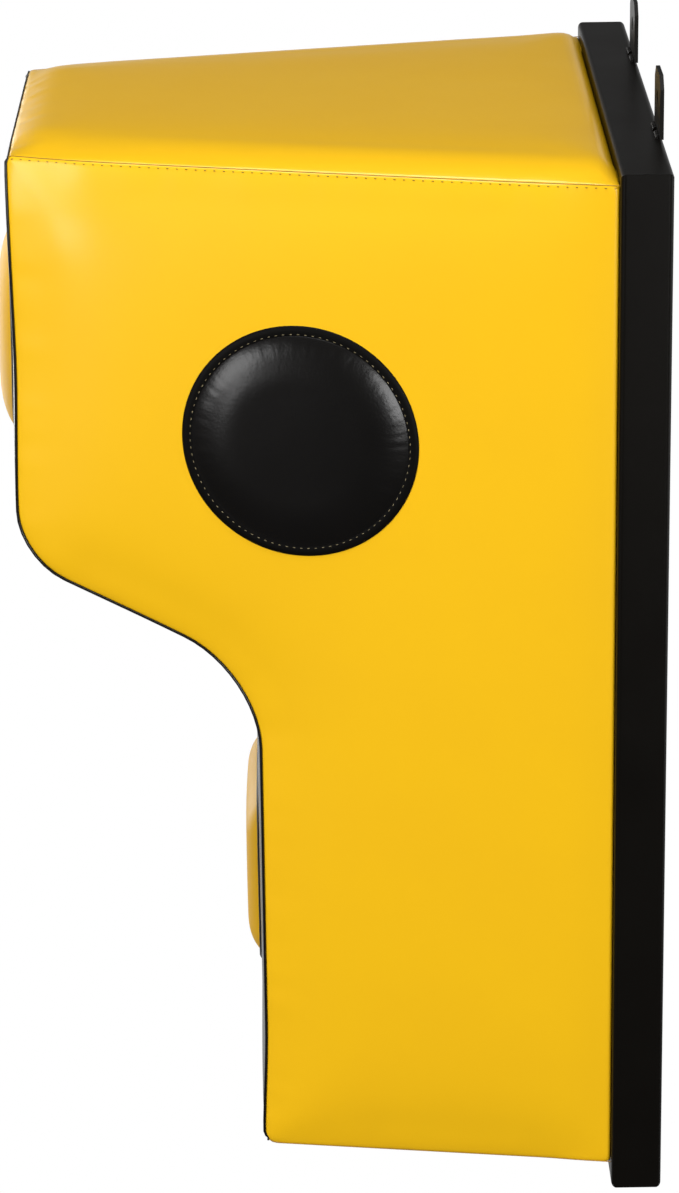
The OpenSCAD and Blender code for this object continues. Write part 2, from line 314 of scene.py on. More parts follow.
def new_material(name: str) -> tuple[Material, NodeTree, Node, NodeSocket]:
    """Starts a material with an output, a Principled shader and object coordinates.

    Args:
        name: The material's name.

    Returns:
        The material, its node tree, its shader and the coordinates' socket.
    """
    material = bpy.data.materials.new(name)
    material.use_nodes = True
    tree = material.node_tree
    tree.nodes.clear()
    shader = add_node(tree, "BsdfPrincipled")
    add_node(tree, "OutputMaterial", {"Surface": shader.outputs["BSDF"]})
    place = add_node(tree, "TexCoord").outputs["Object"]
    return material, tree, shader, place


def set_constants(shader: Node, **values: float) -> None:
    """Sets constants on a shader's own sockets, with _ for each space in a socket's name."""
    for name, value in values.items():
        shader.inputs[name.replace("_", " ")].default_value = value


def lay_pattern(
    shader: Node,
    pattern: NodeSocket,
    colours: tuple[Colour, Colour],
    gloss: tuple[float, float] | None = None,
    relief: tuple[NodeSocket, float, float] | None = None,
) -> None:
    """Lets patterns drive a surface: its colour, its gloss and its relief.

    Args:
        shader: The surface's shader.
        pattern: The pattern that the colour and the gloss follow, from 0 to 1.
        colours: The colours at its 0 and its 1.
        gloss: The roughness at its 0 and its 1, where the roughness varies.
        relief: The pattern of heights, with the strength and the depth of its bumps.
    """
    tree = shader.id_data
    mix = add_node(tree, "Mix", {0: pattern, 6: colours[0], 7: colours[1]}, data_type="RGBA")
    tree.links.new(mix.outputs[2], shader.inputs["Base Color"])
    if gloss:
        gauge = add_node(tree, "MapRange", {"Value": pattern, "To Min": gloss[0], "To Max": gloss[1]})
        tree.links.new(gauge.outputs["Result"], shader.inputs["Roughness"])
    if relief:
        height, strength, depth = relief
        bump = add_node(tree, "Bump", {"Height": height, "Strength": strength, "Distance": depth})
        tree.links.new(bump.outputs["Normal"], shader.inputs["Normal"])


@dataclass(frozen=True)
class CoatedFabric:
    """PVC-coated upholstery fabric: an embossed leather grain under a glossy top film."""

    name: str
    colour: str
    worn_colour: str
    roughness: float
    specular: float
    coat: float
    grain: float = 2.0 * MM
    grain_depth: float = 0.035 * MM
    grain_wander: float = 0.8
    stretch: float = 60.0 * MM
    stretch_depth: float = 0.25 * MM

    def build(self) -> Material:
        """Returns the coated fabric's material."""
        material, tree, shader, place = new_material(self.name)
        # broad, weak clouds of colour and gloss: the film is thinner where the fabric is stretched
        clouds = add_node(tree, "TexNoise", {"Vector": place, "Scale": 0.6 / self.stretch, "Detail": 3.0})
        lay_pattern(
            shader,
            clouds.outputs["Fac"],
            (linear(self.colour), linear(self.worn_colour)),
            gloss=(self.roughness - 0.04, self.roughness + 0.05),
        )
        # embossed grain: rounded pebbles about 2 mm across, with fine creases between them
        bend = add_node(tree, "TexNoise", {"Vector": place, "Scale": 0.4 / self.grain, "Detail": 2.0})
        warped = add_node(
            tree,
            "VectorMath",
            {0: bend.outputs["Color"], "Scale": self.grain * self.grain_wander},
            operation="SCALE",
        )
        moved = add_node(tree, "VectorMath", {0: place, 1: warped.outputs["Vector"]}, operation="ADD")
        pebbles = add_node(
            tree,
            "TexVoronoi",
            {"Vector": moved.outputs["Vector"], "Scale": 1.0 / self.grain},
            feature="SMOOTH_F1",
        )
        grain = add_node(
            tree,
            "Bump",
            {"Height": pebbles.outputs["Distance"], "Strength": 0.6, "Distance": self.grain_depth},
            invert=True,
        )
        # slow waves where the sheet is pulled over the foam
        waves = add_node(tree, "TexNoise", {"Vector": place, "Scale": 1.0 / self.stretch, "Detail": 1.5})
        drape = add_node(
            tree,
            "Bump",
            {
                "Height": waves.outputs["Fac"],
                "Strength": 1.0,
                "Distance": self.stretch_depth,
                "Normal": grain.outputs["Normal"],
            },
        )
        tree.links.new(drape.outputs["Normal"], shader.inputs["Normal"])
        set_constants(shader, IOR=1.5, Specular_IOR_Level=self.specular, Coat_Weight=self.coat)
        set_constants(shader, Coat_Roughness=0.17)
        return material


@dataclass(frozen=True)
class PowderCoat:
    """Black powder-coated steel: an even satin film with a fine orange-peel texture."""

    name: str = "powder_coated_steel_satin"
    colour: str = "#0c0a08"
    dusty_colour: str = "#0f0d0a"
    dust_patches_per_m: float = 14.0
    peel: float = 1.6 * MM
    peel_depth: float = 0.02 * MM
    roughness: float = 0.34
    specular: float = 0.10

    def build(self) -> Material:
        """Returns the powder coat's material."""
        material, tree, shader, place = new_material(self.name)
        dust = add_node(tree, "TexNoise", {"Vector": place, "Scale": self.dust_patches_per_m, "Detail": 5.0})
        peel = add_node(tree, "TexNoise", {"Vector": place, "Scale": 1.0 / self.peel, "Detail": 2.0})
        lay_pattern(
            shader,
            dust.outputs["Fac"],
            (linear(self.colour), linear(self.dusty_colour)),
            gloss=(self.roughness - 0.05, self.roughness + 0.07),
            relief=(peel.outputs["Fac"], 0.8, self.peel_depth),
        )
        set_constants(shader, IOR=1.5, Specular_IOR_Level=self.specular)
        return material


@dataclass(frozen=True)
class ZincPlate:
    """Bright zinc-plated steel: a pale metal with faint rolling marks and dull patches."""

    name: str = "zinc_plated_steel_bright"
    colour: str = "#c9ccd0"
    dull_colour: str = "#a9adb0"
    mark: float = 4.0 * MM
    roughness: float = 0.3

    def build(self) -> Material:
        """Returns the zinc plate's material."""
        material, tree, shader, place = new_material(self.name)
        marks = add_node(tree, "TexNoise", {"Vector": place, "Scale": 1.0 / self.mark, "Detail": 4.0})
        lay_pattern(
            shader,
            marks.outputs["Fac"],
            (linear(self.colour), linear(self.dull_colour)),
            gloss=(self.roughness - 0.08, self.roughness + 0.16),
        )
        set_constants(shader, Metallic=1.0)
        return material


@dataclass(frozen=True)
class BirchPlywood:
    """Birch plywood, sanded: pale veneer with long soft grain and a rough face."""

    name: str = "birch_plywood_sanded"
    light: str = "#d9b988"
    dark: str = "#b78d58"
    grain: float = 9.0 * MM
    grain_depth: float = 0.2 * MM
    along: float = 0.08

    def build(self) -> Material:
        """Returns the plywood's material."""
        material, tree, shader, place = new_material(self.name)
        long_grain = add_node(tree, "Mapping", {"Vector": place, "Scale": (1.0, 1.0, self.along)})
        bands = add_node(
            tree,
            "TexNoise",
            {"Vector": long_grain.outputs["Vector"], "Scale": 1.0 / self.grain, "Detail": 6.0},
        )
        bands.inputs["Distortion"].default_value = 0.6
        lay_pattern(
            shader,
            bands.outputs["Fac"],
            (linear(self.light), linear(self.dark)),
            relief=(bands.outputs["Fac"], 0.4, self.grain_depth),
        )
        set_constants(shader, Roughness=0.7)
        return material


@dataclass(frozen=True)
class CutFoam:
    """Polyurethane foam, saw cut: matt, with open cells about a millimetre across, their pits darkened by
    painted shade.
    """

    name: str = "polyurethane_foam_cut"
    colour: str = "#a9aaa6"
    pit_shade_colour: str = "#85867f"
    cell: float = 1.4 * MM
    cell_depth: float = 0.4 * MM

    def build(self) -> Material:
        """Returns the foam's material."""
        material, tree, shader, place = new_material(self.name)
        cells = add_node(tree, "TexVoronoi", {"Vector": place, "Scale": 1.0 / self.cell})
        # painted shade: the colour darkens into each cell's pit, where the relief is lowest
        lay_pattern(
            shader,
            cells.outputs["Distance"],
            (linear(self.pit_shade_colour), linear(self.colour)),
            relief=(cells.outputs["Distance"], 0.8, self.cell_depth),
        )
        set_constants(shader, Roughness=0.95, Specular_IOR_Level=0.2)
        return material


@dataclass(frozen=True)
class NonWoven:
    """Spun-bonded polypropylene lining: matt, with a net of pressed dots and loose fibres."""

    name: str = "polypropylene_lining_spun_bonded"
    colour: str = "#232427"
    fibre_colour: str = "#3a3b3f"
    dot: float = 3.0 * MM
    fibre: float = 1.2 * MM
    depth: float = 0.3 * MM

    def build(self) -> Material:
        """Returns the lining's material."""
        material, tree, shader, place = new_material(self.name)
        dots = add_node(tree, "TexVoronoi", {"Vector": place, "Scale": 1.0 / self.dot, "Randomness": 0.15})
        fibres = add_node(tree, "TexNoise", {"Vector": place, "Scale": 1.0 / self.fibre, "Detail": 6.0})
        height = add_node(
            tree, "Math", {0: dots.outputs["Distance"], 1: fibres.outputs["Fac"]}, operation="MULTIPLY"
        )
        lay_pattern(
            shader,
            fibres.outputs["Fac"],
            (linear(self.colour), linear(self.fibre_colour)),
            relief=(height.outputs["Value"], 0.7, self.depth),
        )
        set_constants(shader, Roughness=0.9, Specular_IOR_Level=0.25)
        return material


@dataclass(frozen=True)
class SewingThread:
    """Twisted polyester thread: slightly glossy, with a fine twist across each stitch, painted in its lit
    colour and a darker painted-shade copy of it.
    """

    name: str
    colour: str
    shade: float = 0.7
    twist: float = 0.7 * MM
    twist_depth: float = 0.1 * MM

    def build(self) -> Material:
        """Returns the thread's material."""
        material, tree, shader, place = new_material(self.name)
        plies = add_node(tree, "TexNoise", {"Vector": place, "Scale": 1.0 / self.twist, "Detail": 2.0})
        # painted shade: the plies mix the thread's lit colour with a copy of it darkened as if in shade
        lit = linear(self.colour)
        shaded = (*(c * self.shade for c in lit[:3]), 1.0)
        relief = (plies.outputs["Fac"], 0.5, self.twist_depth)
        lay_pattern(shader, plies.outputs["Fac"], (lit, shaded), relief=relief)
        set_constants(shader, Roughness=0.55)
        return material


class Finishes:
    """Every finish of the object, built once and shared by its pieces."""

    def __init__(self) -> None:
        """Builds the materials."""
        # each coated fabric's two colours, then its roughness, specular level and coat
        self.yellow = CoatedFabric(
            "pvc_leather_yellow_grained", "#fdc614", "#f8bf12", 0.36, 0.28, 0.3
        ).build()
        self.yellow_satin = CoatedFabric(
            "pvc_leather_yellow_pad_satin", "#f6bd12", "#f0b610", 0.46, 0.14, 0.0
        ).build()
        self.black = CoatedFabric(
            "pvc_leather_black_grained", "#0a0908", "#0f0d0c", 0.26, 0.4, 0.05, 1.9 * MM, 0.09 * MM
        ).build()
        self.black_edge = CoatedFabric(
            "pvc_leather_black_cut_edge_matt", "#080706", "#0b0a09", 0.5, 0.08, 0.0, 1.9 * MM, 0.06 * MM
        ).build()
        self.powder_coat = PowderCoat().build()
        self.zinc = ZincPlate().build()
        self.plywood = BirchPlywood().build()
        self.foam = CutFoam().build()
        self.lining = NonWoven().build()
        self.cream_thread = SewingThread("polyester_thread_cream", "#b5a67e").build()
        self.amber_thread = SewingThread("polyester_thread_amber", "#b5851c").build()
        self.ochre_thread = SewingThread("polyester_thread_ochre", "#a07618").build()


# --- Steel and board ----------------------------------------------------------------------------


def dress_node(name: str, material: Material) -> None:
    """Gives a CAD node its finish.

    Args:
        name: The node's name.
        material: Its finish.
    """
    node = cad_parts[name]
    for slot_of_node in node.material_slots:
        slot_of_node.material = material
    log.info("%s: dressed", name)


@dataclass
class SteelFrame:
    """The welded square-tube frame, with its cross bars, wall lugs and weld beads."""

    bead_r: float = 2.2 * MM
    bead_step: float = 0.8 * MM
    bead_ripple: float = 0.5 * MM
    ripple_share: float = 0.6
    ripple_pitch: float = 3.5 * MM
    ripple_grain: float = 4 * MM
    lug_t: float = 3.0 * MM
    lug_bead_starts: tuple[float, float] = (0.06, 0.58)
    lug_bead_share: float = 0.36
    lug_bead_lift: float = 0.4 * MM
    bar_bead_gap: float = 3 * MM

    def weld_bead(self, name: str, runs: Sequence[tuple[Vector, Vector]], material: Material) -> None:
        """Lays rippled weld beads.

        Args:
            name: The piece's name.
            runs: The start and end of each bead.
            material: The finish over the beads.
        """
        bm = bmesh.new()
        for start, end in runs:
            steps = max(8, round((end - start).length / self.bead_step))
            line = [start.lerp(end, k / steps) for k in range(steps + 1)]
            mesh = tube(name, line, self.bead_r)
            bm.from_mesh(mesh)
            bpy.data.meshes.remove(mesh)
        for vert in bm.verts:
            along = (vert.co.x + vert.co.z) / self.ripple_pitch * math.tau
            vert.co.y += self.bead_ripple * math.sin(along) * self.ripple_share
            vert.co.z += self.bead_ripple * noise.noise(vert.co / self.ripple_grain)
        bmesh.ops.recalc_face_normals(bm, faces=bm.faces[:])
        add_piece(name, to_mesh(name, bm), material)

    def build(self, finishes: Finishes) -> None:
        """Dresses the steel and adds its weld beads.

        Args:
            finishes: The object's finishes.
        """
        lugs = ("wall_lug_left", "wall_lug_right")
        bars = ("upper_cross_bar", "lower_cross_bar")
        rails = [f"frame_{place}_rail" for place in ("top", "bottom", "left", "right")]
        for name in (*rails, *bars, *lugs):
            dress_node(name, finishes.powder_coat)
        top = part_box("frame_top_rail")[1].z
        runs = []
        for lug in lugs:
            low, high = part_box(lug)
            y = -self.lug_t - self.bead_r * 0.3
            for share in self.lug_bead_starts:
                start = Vector((low.x + share * (high.x - low.x), y, top + self.lug_bead_lift))
                runs.append((start, start + Vector((self.lug_bead_share * (high.x - low.x), 0, 0))))
        self.weld_bead("lug_weld_beads", runs, finishes.powder_coat)
        runs = []
        for bar in bars:
            low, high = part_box(bar)
            for x in (low.x, high.x):
                start = Vector((x, high.y + self.bead_r * 0.2, low.z + self.bar_bead_gap))
                runs.append((start, Vector((x, start.y, high.z - self.bar_bead_gap))))
        self.weld_bead("cross_bar_weld_beads", runs, finishes.powder_coat)


@dataclass
class BackBoard:
    """The plywood board with its fasteners, and the lining that closes its back."""

    lining_t: float = 0.7 * MM
    slack: float = 0.25 * MM
    slack_wave: float = 45 * MM
    cell: float = 8.0 * MM

    def build(self, finishes: Finishes) -> None:
        """Dresses the board and its fasteners and hangs the lining.

        Args:
            finishes: The object's finishes.
        """
        dress_node("back_board", finishes.plywood)
        for name in ("board_bolts", "board_washers", "tee_nuts", "hem_staples"):
            dress_node(name, finishes.zinc)
        self.build_lining(finishes)

    def build_lining(self, finishes: Finishes) -> None:
        """Makes the flat lining sheet, a little slack between its staples.

        Args:
            finishes: The object's finishes.
        """
        low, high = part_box("rear_lining")
        y = (low.y + high.y) / 2
        bm = bmesh.new()
        columns = round((high.x - low.x) / self.cell)
        rows = round((high.z - low.z) / self.cell)
        bmesh.ops.create_grid(bm, x_segments=columns, y_segments=rows, size=0.5)
        for vert in bm.verts:
            x = low.x + (vert.co.x + 0.5) * (high.x - low.x)
            z = low.z + (vert.co.y + 0.5) * (high.z - low.z)
            ripple = self.slack * noise.noise(Vector((x, 0, z)) / self.slack_wave)
            vert.co = (x, y + ripple, z)
        bmesh.ops.recalc_face_normals(bm, faces=bm.faces[:])
        mesh = to_mesh("rear_lining_sheet", bm)
        piece = add_piece("rear_lining_sheet", mesh, finishes.lining, ["rear_lining"])
        give_wall(piece, self.lining_t, offset=0.0)


# --- Padded body --------------------------------------------------------------------------------


class Panel(IntEnum):
    """The sewn panels of the cover, and the open middle of its back."""

    SIDE_LEFT = 1
    SIDE_RIGHT = 2
    TOP = 3
    BOTTOM = 4
    FRONT = 5
    LINING = 6


@dataclass(frozen=True)
class Softness:
    """How the stuffed cover leaves its cut shape before it is blown up."""

    # both sides are drawn in at their seams, more where they are clear of the board
    board_pull: float = 0.8 * MM
    free_pull: float = 2.9 * MM
    pull_reach: float = 31 * MM
    # and most at the two upper front corners
    corner_pull: float = 6.5 * MM
    corner_reach: float = 78 * MM
    freeing: float = 35 * MM
    # the band round the body dips at its seams
    seam_dip: float = 0.8 * MM
    dip_reach: float = 26 * MM
    # the top panel stands up from its seams to a plateau with rolled edges
    top_sink: float = 1.0 * MM
    top_plateau: float = 9.5 * MM
    plateau_growth: float = 2.5 * MM
    top_roll: float = 40 * MM
    rear_roll: float = 22 * MM
    front_roll: tuple[float, float] = (-2 * MM, 28 * MM)
    board_fade: tuple[float, float] = (-4 * MM, 12 * MM)
    # the stuffing pushes out the upper front edge, the chin and the foot
    brow_from: float = 600 * MM
    brow_lift: float = 3.6 * MM
    brow_reach: float = 2.0 * MM
    chin_reach: float = 2.8 * MM
    chin_heights: tuple[float, float] = (520 * MM, 650 * MM)
    chin_depths: tuple[float, float] = (330 * MM, 430 * MM)
    foot_drop: float = 2.0 * MM
    foot_to: float = 60 * MM
    shin_reach: float = 3.4 * MM
    shin_to: float = 110 * MM
    rise_by: float = 80 * MM


@dataclass(frozen=True)
class Folds:
    """The small folds that the thread draws from the seams into the panels."""

    nearest: float = 1 * MM
    farthest: float = 45 * MM
    wave: float = 13 * MM
    depth: float = 0.5 * MM
    brow_depth: float = 0.7 * MM
    brow_from: float = 60 * MM
    brow_fade: float = 2 * MM
    middle: float = 8 * MM
    spread: float = 15 * MM


@dataclass(frozen=True)
class Sewing:
    """The sizes of the cover's piping, threads and stitches."""

    piping_r: float = 1.1 * MM
    piping_proud: float = 0.5 * MM
    piping_tuck: float = 2.2 * MM
    tuck_points: int = 3
    edge_piping_r: float = 0.9 * MM
    edge_piping_proud: float = 0.2 * MM
    thread_r: float = 0.3 * MM
    thread_sunk: float = 0.35 * MM
    stitch_pitch: float = 7 * MM
    stitch_l: float = 2.0 * MM
    stitch_r: float = 0.4 * MM
    from_seam: float = 2.2 * MM
    top_stitch_proud: float = 0.9 * MM
    bottom_stitch_proud: float = 0.3 * MM


@dataclass
class PaddedBody:
    """The head-and-torso body: foam under a cover of five sewn panels."""

    back_w: float = 486 * MM
    front_w: float = 294 * MM
    head_d: float = 441 * MM
    torso_d: float = 264 * MM
    top_v: float = 790 * MM
    foot_back: float = 18 * MM
    foot_front: float = 10 * MM
    chin_v: float = 483 * MM
    chin_slope: float = math.radians(24.6)
    chin_r: float = 58 * MM
    neck_r: float = 95 * MM
    edge_r: float = 6 * MM
    foot_r: float = 10 * MM
    hem_w: float = 52 * MM
    cover_t: float = 1.5 * MM
    board_depth: float = 16.5 * MM
    cell: float = 9 * MM
    cross_cells: int = 48
    # cells crowd towards the side seams, and two rows of them follow each side's outline
    crowding: float = 0.25
    border_insets: tuple[float, float] = (4 * MM, 5 * MM)
    sliver: float = 0.34
    facing_back: float = 0.9
    level: float = 0.7
    back_gap: float = 1 * MM
    on_back: float = 0.01 * MM
    side_crown: float = 6 * MM
    head_crown: float = 6.5 * MM
    torso_crown: float = 4 * MM
    top_crown: float = 2 * MM
    bottom_crown: float = 2 * MM
    fullness: float = 2.2
    chest: tuple[float, float] = (420 * MM, 560 * MM)
    sim_frames: int = 20
    sim_quality: int = 4
    cloth_mass: float = 0.3
    pressure: float = 4.0
    fill: float = 0.95
    soft: Softness = Softness()
    folds: Folds = Folds()
    sewing: Sewing = Sewing()

    def __post_init__(self) -> None:
        """Takes the frame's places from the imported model."""
        low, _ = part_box("frame_left_rail")
        self.face_y = low.y
        self.foot_z = low.z
        self.body: BMesh = bmesh.new()
        self.neck_v = self.chin_v - (self.head_d - self.torso_d) * math.tan(self.chin_slope)

    def at(self, x: float, d: float, v: float) -> Vector:
        """Returns the point at x, at distance d before the frame and height v above its foot."""
        return Vector((x, self.face_y - d, self.foot_z + v))

    def half_w(self, d: float) -> float:
        """Returns half the body's width at distance d before the frame."""
        return self.back_w / 2 - (self.back_w - self.front_w) / 2 / self.head_d * d

    # Form

    def side_face(self, bm: BMesh, inner: BMLayerItem) -> None:
        """Draws one side as a flat face, rounds its corners and cuts it into small cells.

        Args:
            bm: An empty mesh.
            inner: The face layer that marks the part to cut into a grid.
        """
        corners = [
            (0.0, self.top_v, 0.0),
            (self.head_d, self.top_v, self.edge_r),
            (self.head_d, self.chin_v, self.chin_r),
            (self.torso_d, self.neck_v, self.neck_r),
            (self.torso_d, self.foot_front, self.foot_r),
            (0.0, self.foot_back, 0.0),
        ]
        points = [self.at(0, d, v) for d, v, _ in corners]
        verts = [bm.verts.new(p) for p in points]
        bm.faces.new(verts)
        for i, (_, _, radius) in enumerate(corners):
            if radius:
                turn = (points[i] - points[i - 1]).angle(points[(i + 1) % len(points)] - points[i])
                bmesh.ops.bevel(
                    bm,
                    geom=[verts[i]],
                    offset=radius * math.tan(turn / 2),
                    segments=max(4, round(radius * turn / self.cell)),
                    profile=0.5,
                    affect="VERTICES",
                    material=-1,
                )
        bmesh.ops.delete(bm, geom=bm.faces[:], context="FACES_ONLY")
        for edge in bm.edges[:]:
            cuts = round(edge.calc_length() / self.cell) - 1
            if cuts > 0:
                bmesh.ops.subdivide_edges(bm, edges=[edge], cuts=cuts)
        filled = bmesh.ops.edgeloop_fill(bm, edges=bm.edges[:])["faces"]
        for thickness in self.border_insets:
            bmesh.ops.inset_individual(bm, faces=filled, thickness=thickness, use_even_offset=True)
        filled[0][inner] = 1
        self.cut_grid(bm, inner)

    def cut_grid(self, bm: BMesh, inner: BMLayerItem) -> None:
        """Cuts the marked face into a grid and merges the slivers at its border.

        Args:
            bm: The mesh.
            inner: The face layer with 1 on the part to cut.
        """
        for axis in (Vector((0, 1, 0)), Vector((0, 0, 1))):
            reach = [v.co.dot(axis) for f in bm.faces if f[inner] for v in f.verts]
            low, high = min(reach), max(reach)
            count = round((high - low) / self.cell)
            for k in range(1, count):
                faces = [f for f in bm.faces if f[inner]]
                parts = {e for f in faces for e in f.edges} | {v for f in faces for v in f.verts}
                bmesh.ops.bisect_plane(
                    bm,
                    geom=faces + sorted(parts, key=lambda g: (isinstance(g, BMVert), g.index)),
                    dist=TOUCHING,
                    plane_co=axis * (low + (high - low) * k / count),
                    plane_no=axis,
                )
                bm.verts.index_update()
                bm.edges.index_update()
        close = sorted({v for f in bm.faces if f[inner] for v in f.verts}, key=lambda v: v.index)
        bmesh.ops.remove_doubles(bm, verts=close, dist=self.cell * self.sliver)

    def shape(self) -> None:
        """Builds the closed form: two gridded sides, bridged, cut across and tapered."""
        bm = self.body
        side_plane = bm.faces.layers.int.new("side_plane")
        panel = bm.faces.layers.int.new("panel")
        self.side_face(bm, side_plane)
        bmesh.ops.translate(bm, verts=bm.verts[:], vec=(-0.5, 0, 0))
        copied = bmesh.ops.duplicate(bm, geom=bm.verts[:] + bm.edges[:] + bm.faces[:])["geom"]
        bmesh.ops.translate(bm, verts=[g for g in copied if isinstance(g, BMVert)], vec=(1, 0, 0))
        for face in bm.faces:
            face[side_plane] = 1
            face[panel] = Panel.SIDE_LEFT if face.verts[0].co.x < 0 else Panel.SIDE_RIGHT
        for face in bmesh.ops.bridge_loops(bm, edges=[e for e in bm.edges if e.is_boundary])["faces"]:
            face[side_plane] = 0
            face[panel] = 0
        across = [e for e in bm.edges if abs(e.verts[0].co.x - e.verts[1].co.x) > 0.5]
        bmesh.ops.subdivide_edges(bm, edges=across, cuts=self.cross_cells - 1)
        bmesh.ops.recalc_face_normals(bm, faces=bm.faces[:])
        for vert in bm.verts:
            u = 2 * vert.co.x
            vert.co.x = u * (1 + self.crowding - self.crowding * u * u) / 2
        bm.normal_update()
        for face in bm.faces:
            if not face[side_plane]:
                face[panel] = self.panel_of(face)
        self.soften(side_plane)
        bm.normal_update()

    def panel_of(self, face: BMFace) -> Panel:
        """Says which panel a face of the band round the body belongs to.

        Args:
            face: A face of the band, before the body is given its width.

        Returns:
            Its panel; the turned-in hems belong to the panels they are cut with.
        """
        middle = face.calc_center_median()
        v = middle.z - self.foot_z
        if face.normal.y > self.facing_back:
            if abs(middle.x) * self.back_w > self.back_w / 2 - self.hem_w:
                return Panel.SIDE_LEFT if middle.x < 0 else Panel.SIDE_RIGHT
            if v > self.top_v - self.hem_w:
                return Panel.TOP
            return Panel.BOTTOM if v < self.foot_back + self.hem_w else Panel.LINING
        if face.normal.z > self.level and v > self.top_v - self.edge_r:
            return Panel.TOP
        if face.normal.z < -self.level and v < self.foot_back + self.edge_r:
            return Panel.BOTTOM
        return Panel.FRONT

    def soften(self, side_plane: BMLayerItem) -> None:
        """Gives the body its width and pulls both panels in towards every side seam.

        Args:
            side_plane: The face layer with 1 on the two sides.
        """
        bm, soft = self.body, self.soft
        on_side = {v for f in bm.faces if f[side_plane] for v in f.verts}
        band: dict[BMVert, Vector] = {}
        for face in bm.faces:
            if not face[side_plane]:
                for vert in face.verts:
                    band[vert] = band.get(vert, Vector()) + face.normal
        seam = [v for v in on_side if v in band and v.co.x > 0]
        tree = point_tree([(0, v.co.y, v.co.z) for v in seam])
        for vert in bm.verts:
            d = self.face_y - vert.co.y
            free = smoothstep(self.board_depth, self.board_depth + soft.freeing, d)
            u = 2 * vert.co.x
            width = self.half_w(d)
            pull = self.side_pull(0.0, free)
            if vert in on_side:
                pull = self.side_pull(tree.find((0, vert.co.y, vert.co.z))[2], free)
            from_corner = math.hypot(self.head_d - d, self.foot_z + self.top_v - vert.co.z)
            pull += soft.corner_pull * max(0.0, 1 - from_corner / soft.corner_reach) ** 2
            if vert in band:
                lift = self.band_lift(vert, (1 - abs(u)) * width)
                if lift < 0:
                    lift *= free
                out = band[vert].normalized()
                if d < self.board_depth:
                    out.y = 0.0
                    lift *= smoothstep(*soft.board_fade, d)
                vert.co += out * lift
            vert.co.x = u * (width - pull)
            self.stretch(vert, d, free)

    def stretch(self, vert: BMVert, d: float, free: float) -> None:
        """Fills the body out a little at its upper front edge, its chin and its foot.

        Args:
            vert: The point to move.
            d: Its distance before the frame.
            free: 0 on the board's edge, 1 where the cover is clear of it.
        """
        soft = self.soft
        v = vert.co.z - self.foot_z
        brow = smoothstep(soft.brow_from, self.top_v, v)
        vert.co.z += soft.brow_lift * brow * (d / self.head_d) ** 1.5
        vert.co.y -= soft.brow_reach * brow * d / self.head_d
        chin = (1 - smoothstep(*soft.chin_heights, v)) * smoothstep(*soft.chin_depths, d)
        vert.co.y -= soft.chin_reach * chin
        vert.co.z -= soft.foot_drop * (1 - smoothstep(0, soft.foot_to, v)) * free
        vert.co.y -= soft.shin_reach * (1 - smoothstep(0, soft.shin_to, v)) * d / self.torso_d

    def side_pull(self, s: float, free: float) -> float:
        """Returns how far a side is pulled in at distance s from its seam."""
        pull = self.soft.board_pull + self.soft.free_pull * free
        return pull * max(0.0, 1 - s / self.soft.pull_reach) ** 2

    def band_lift(self, vert: BMVert, s: float) -> float:
        """Finds how far the band round the body stands out.

        Args:
            vert: A point of the band.
            s: Its distance from the nearer side seam.

        Returns:
            Its height over the cut shape, below 0 where the seam pulls it in.
        """
        soft = self.soft
        if vert.co.z > self.foot_z + self.top_v - self.edge_r:
            front = self.head_d - (self.face_y - vert.co.y)
            share = front / self.head_d
            away = min(1.0, s / (soft.top_roll + soft.rear_roll * max(0.0, 1 - share) ** 3))
            rolled = (1 - (1 - away) ** 2) * smoothstep(*soft.front_roll, front)
            return (soft.top_plateau + soft.plateau_growth * share + soft.top_sink) * rolled - soft.top_sink
        return -soft.seam_dip * max(0.0, 1 - s / soft.dip_reach) ** 2

    # Inflation

    def is_sewn(self, vert: BMVert, panel: BMLayerItem) -> bool:
        """Says whether a point lies on a seam or on the board's back."""
        return len({f[panel] for f in vert.link_faces}) > 1 or self.face_y - vert.co.y < self.on_back

    def simulate(self, sewn: Sequence[int]) -> list[Vector]:
        """Blows the form up as cloth that is held along its seams.

        Args:
            sewn: The numbers of the points that stay where they are.

        Returns:
            Where every point ends.
        """
        mesh = bpy.data.meshes.new("cover_before_swelling")
        self.body.to_mesh(mesh)
        form = bpy.data.objects.new("cover_before_swelling", mesh)
        scene = bpy.context.scene
        scene.collection.objects.link(form)
        form.vertex_groups.new(name="sewn").add(list(sewn), 1.0, "REPLACE")
        cloth = form.modifiers.new("Cloth", "CLOTH")
        cloth.settings.quality = self.sim_quality
        cloth.settings.mass = self.cloth_mass
        cloth.settings.vertex_group_mass = "sewn"
        cloth.settings.use_pressure = True
        cloth.settings.uniform_pressure_force = self.pressure
        cloth.settings.effector_weights.gravity = 0.0
        cloth.point_cache.frame_start = 1
        cloth.point_cache.frame_end = self.sim_frames
        for number in range(1, self.sim_frames + 1):
            scene.frame_set(number)
        done = form.evaluated_get(bpy.context.evaluated_depsgraph_get())
        places = [v.co.copy() for v in done.data.vertices]
        bpy.data.objects.remove(form)
        bpy.data.meshes.remove(mesh)
        scene.frame_set(1)
        return places

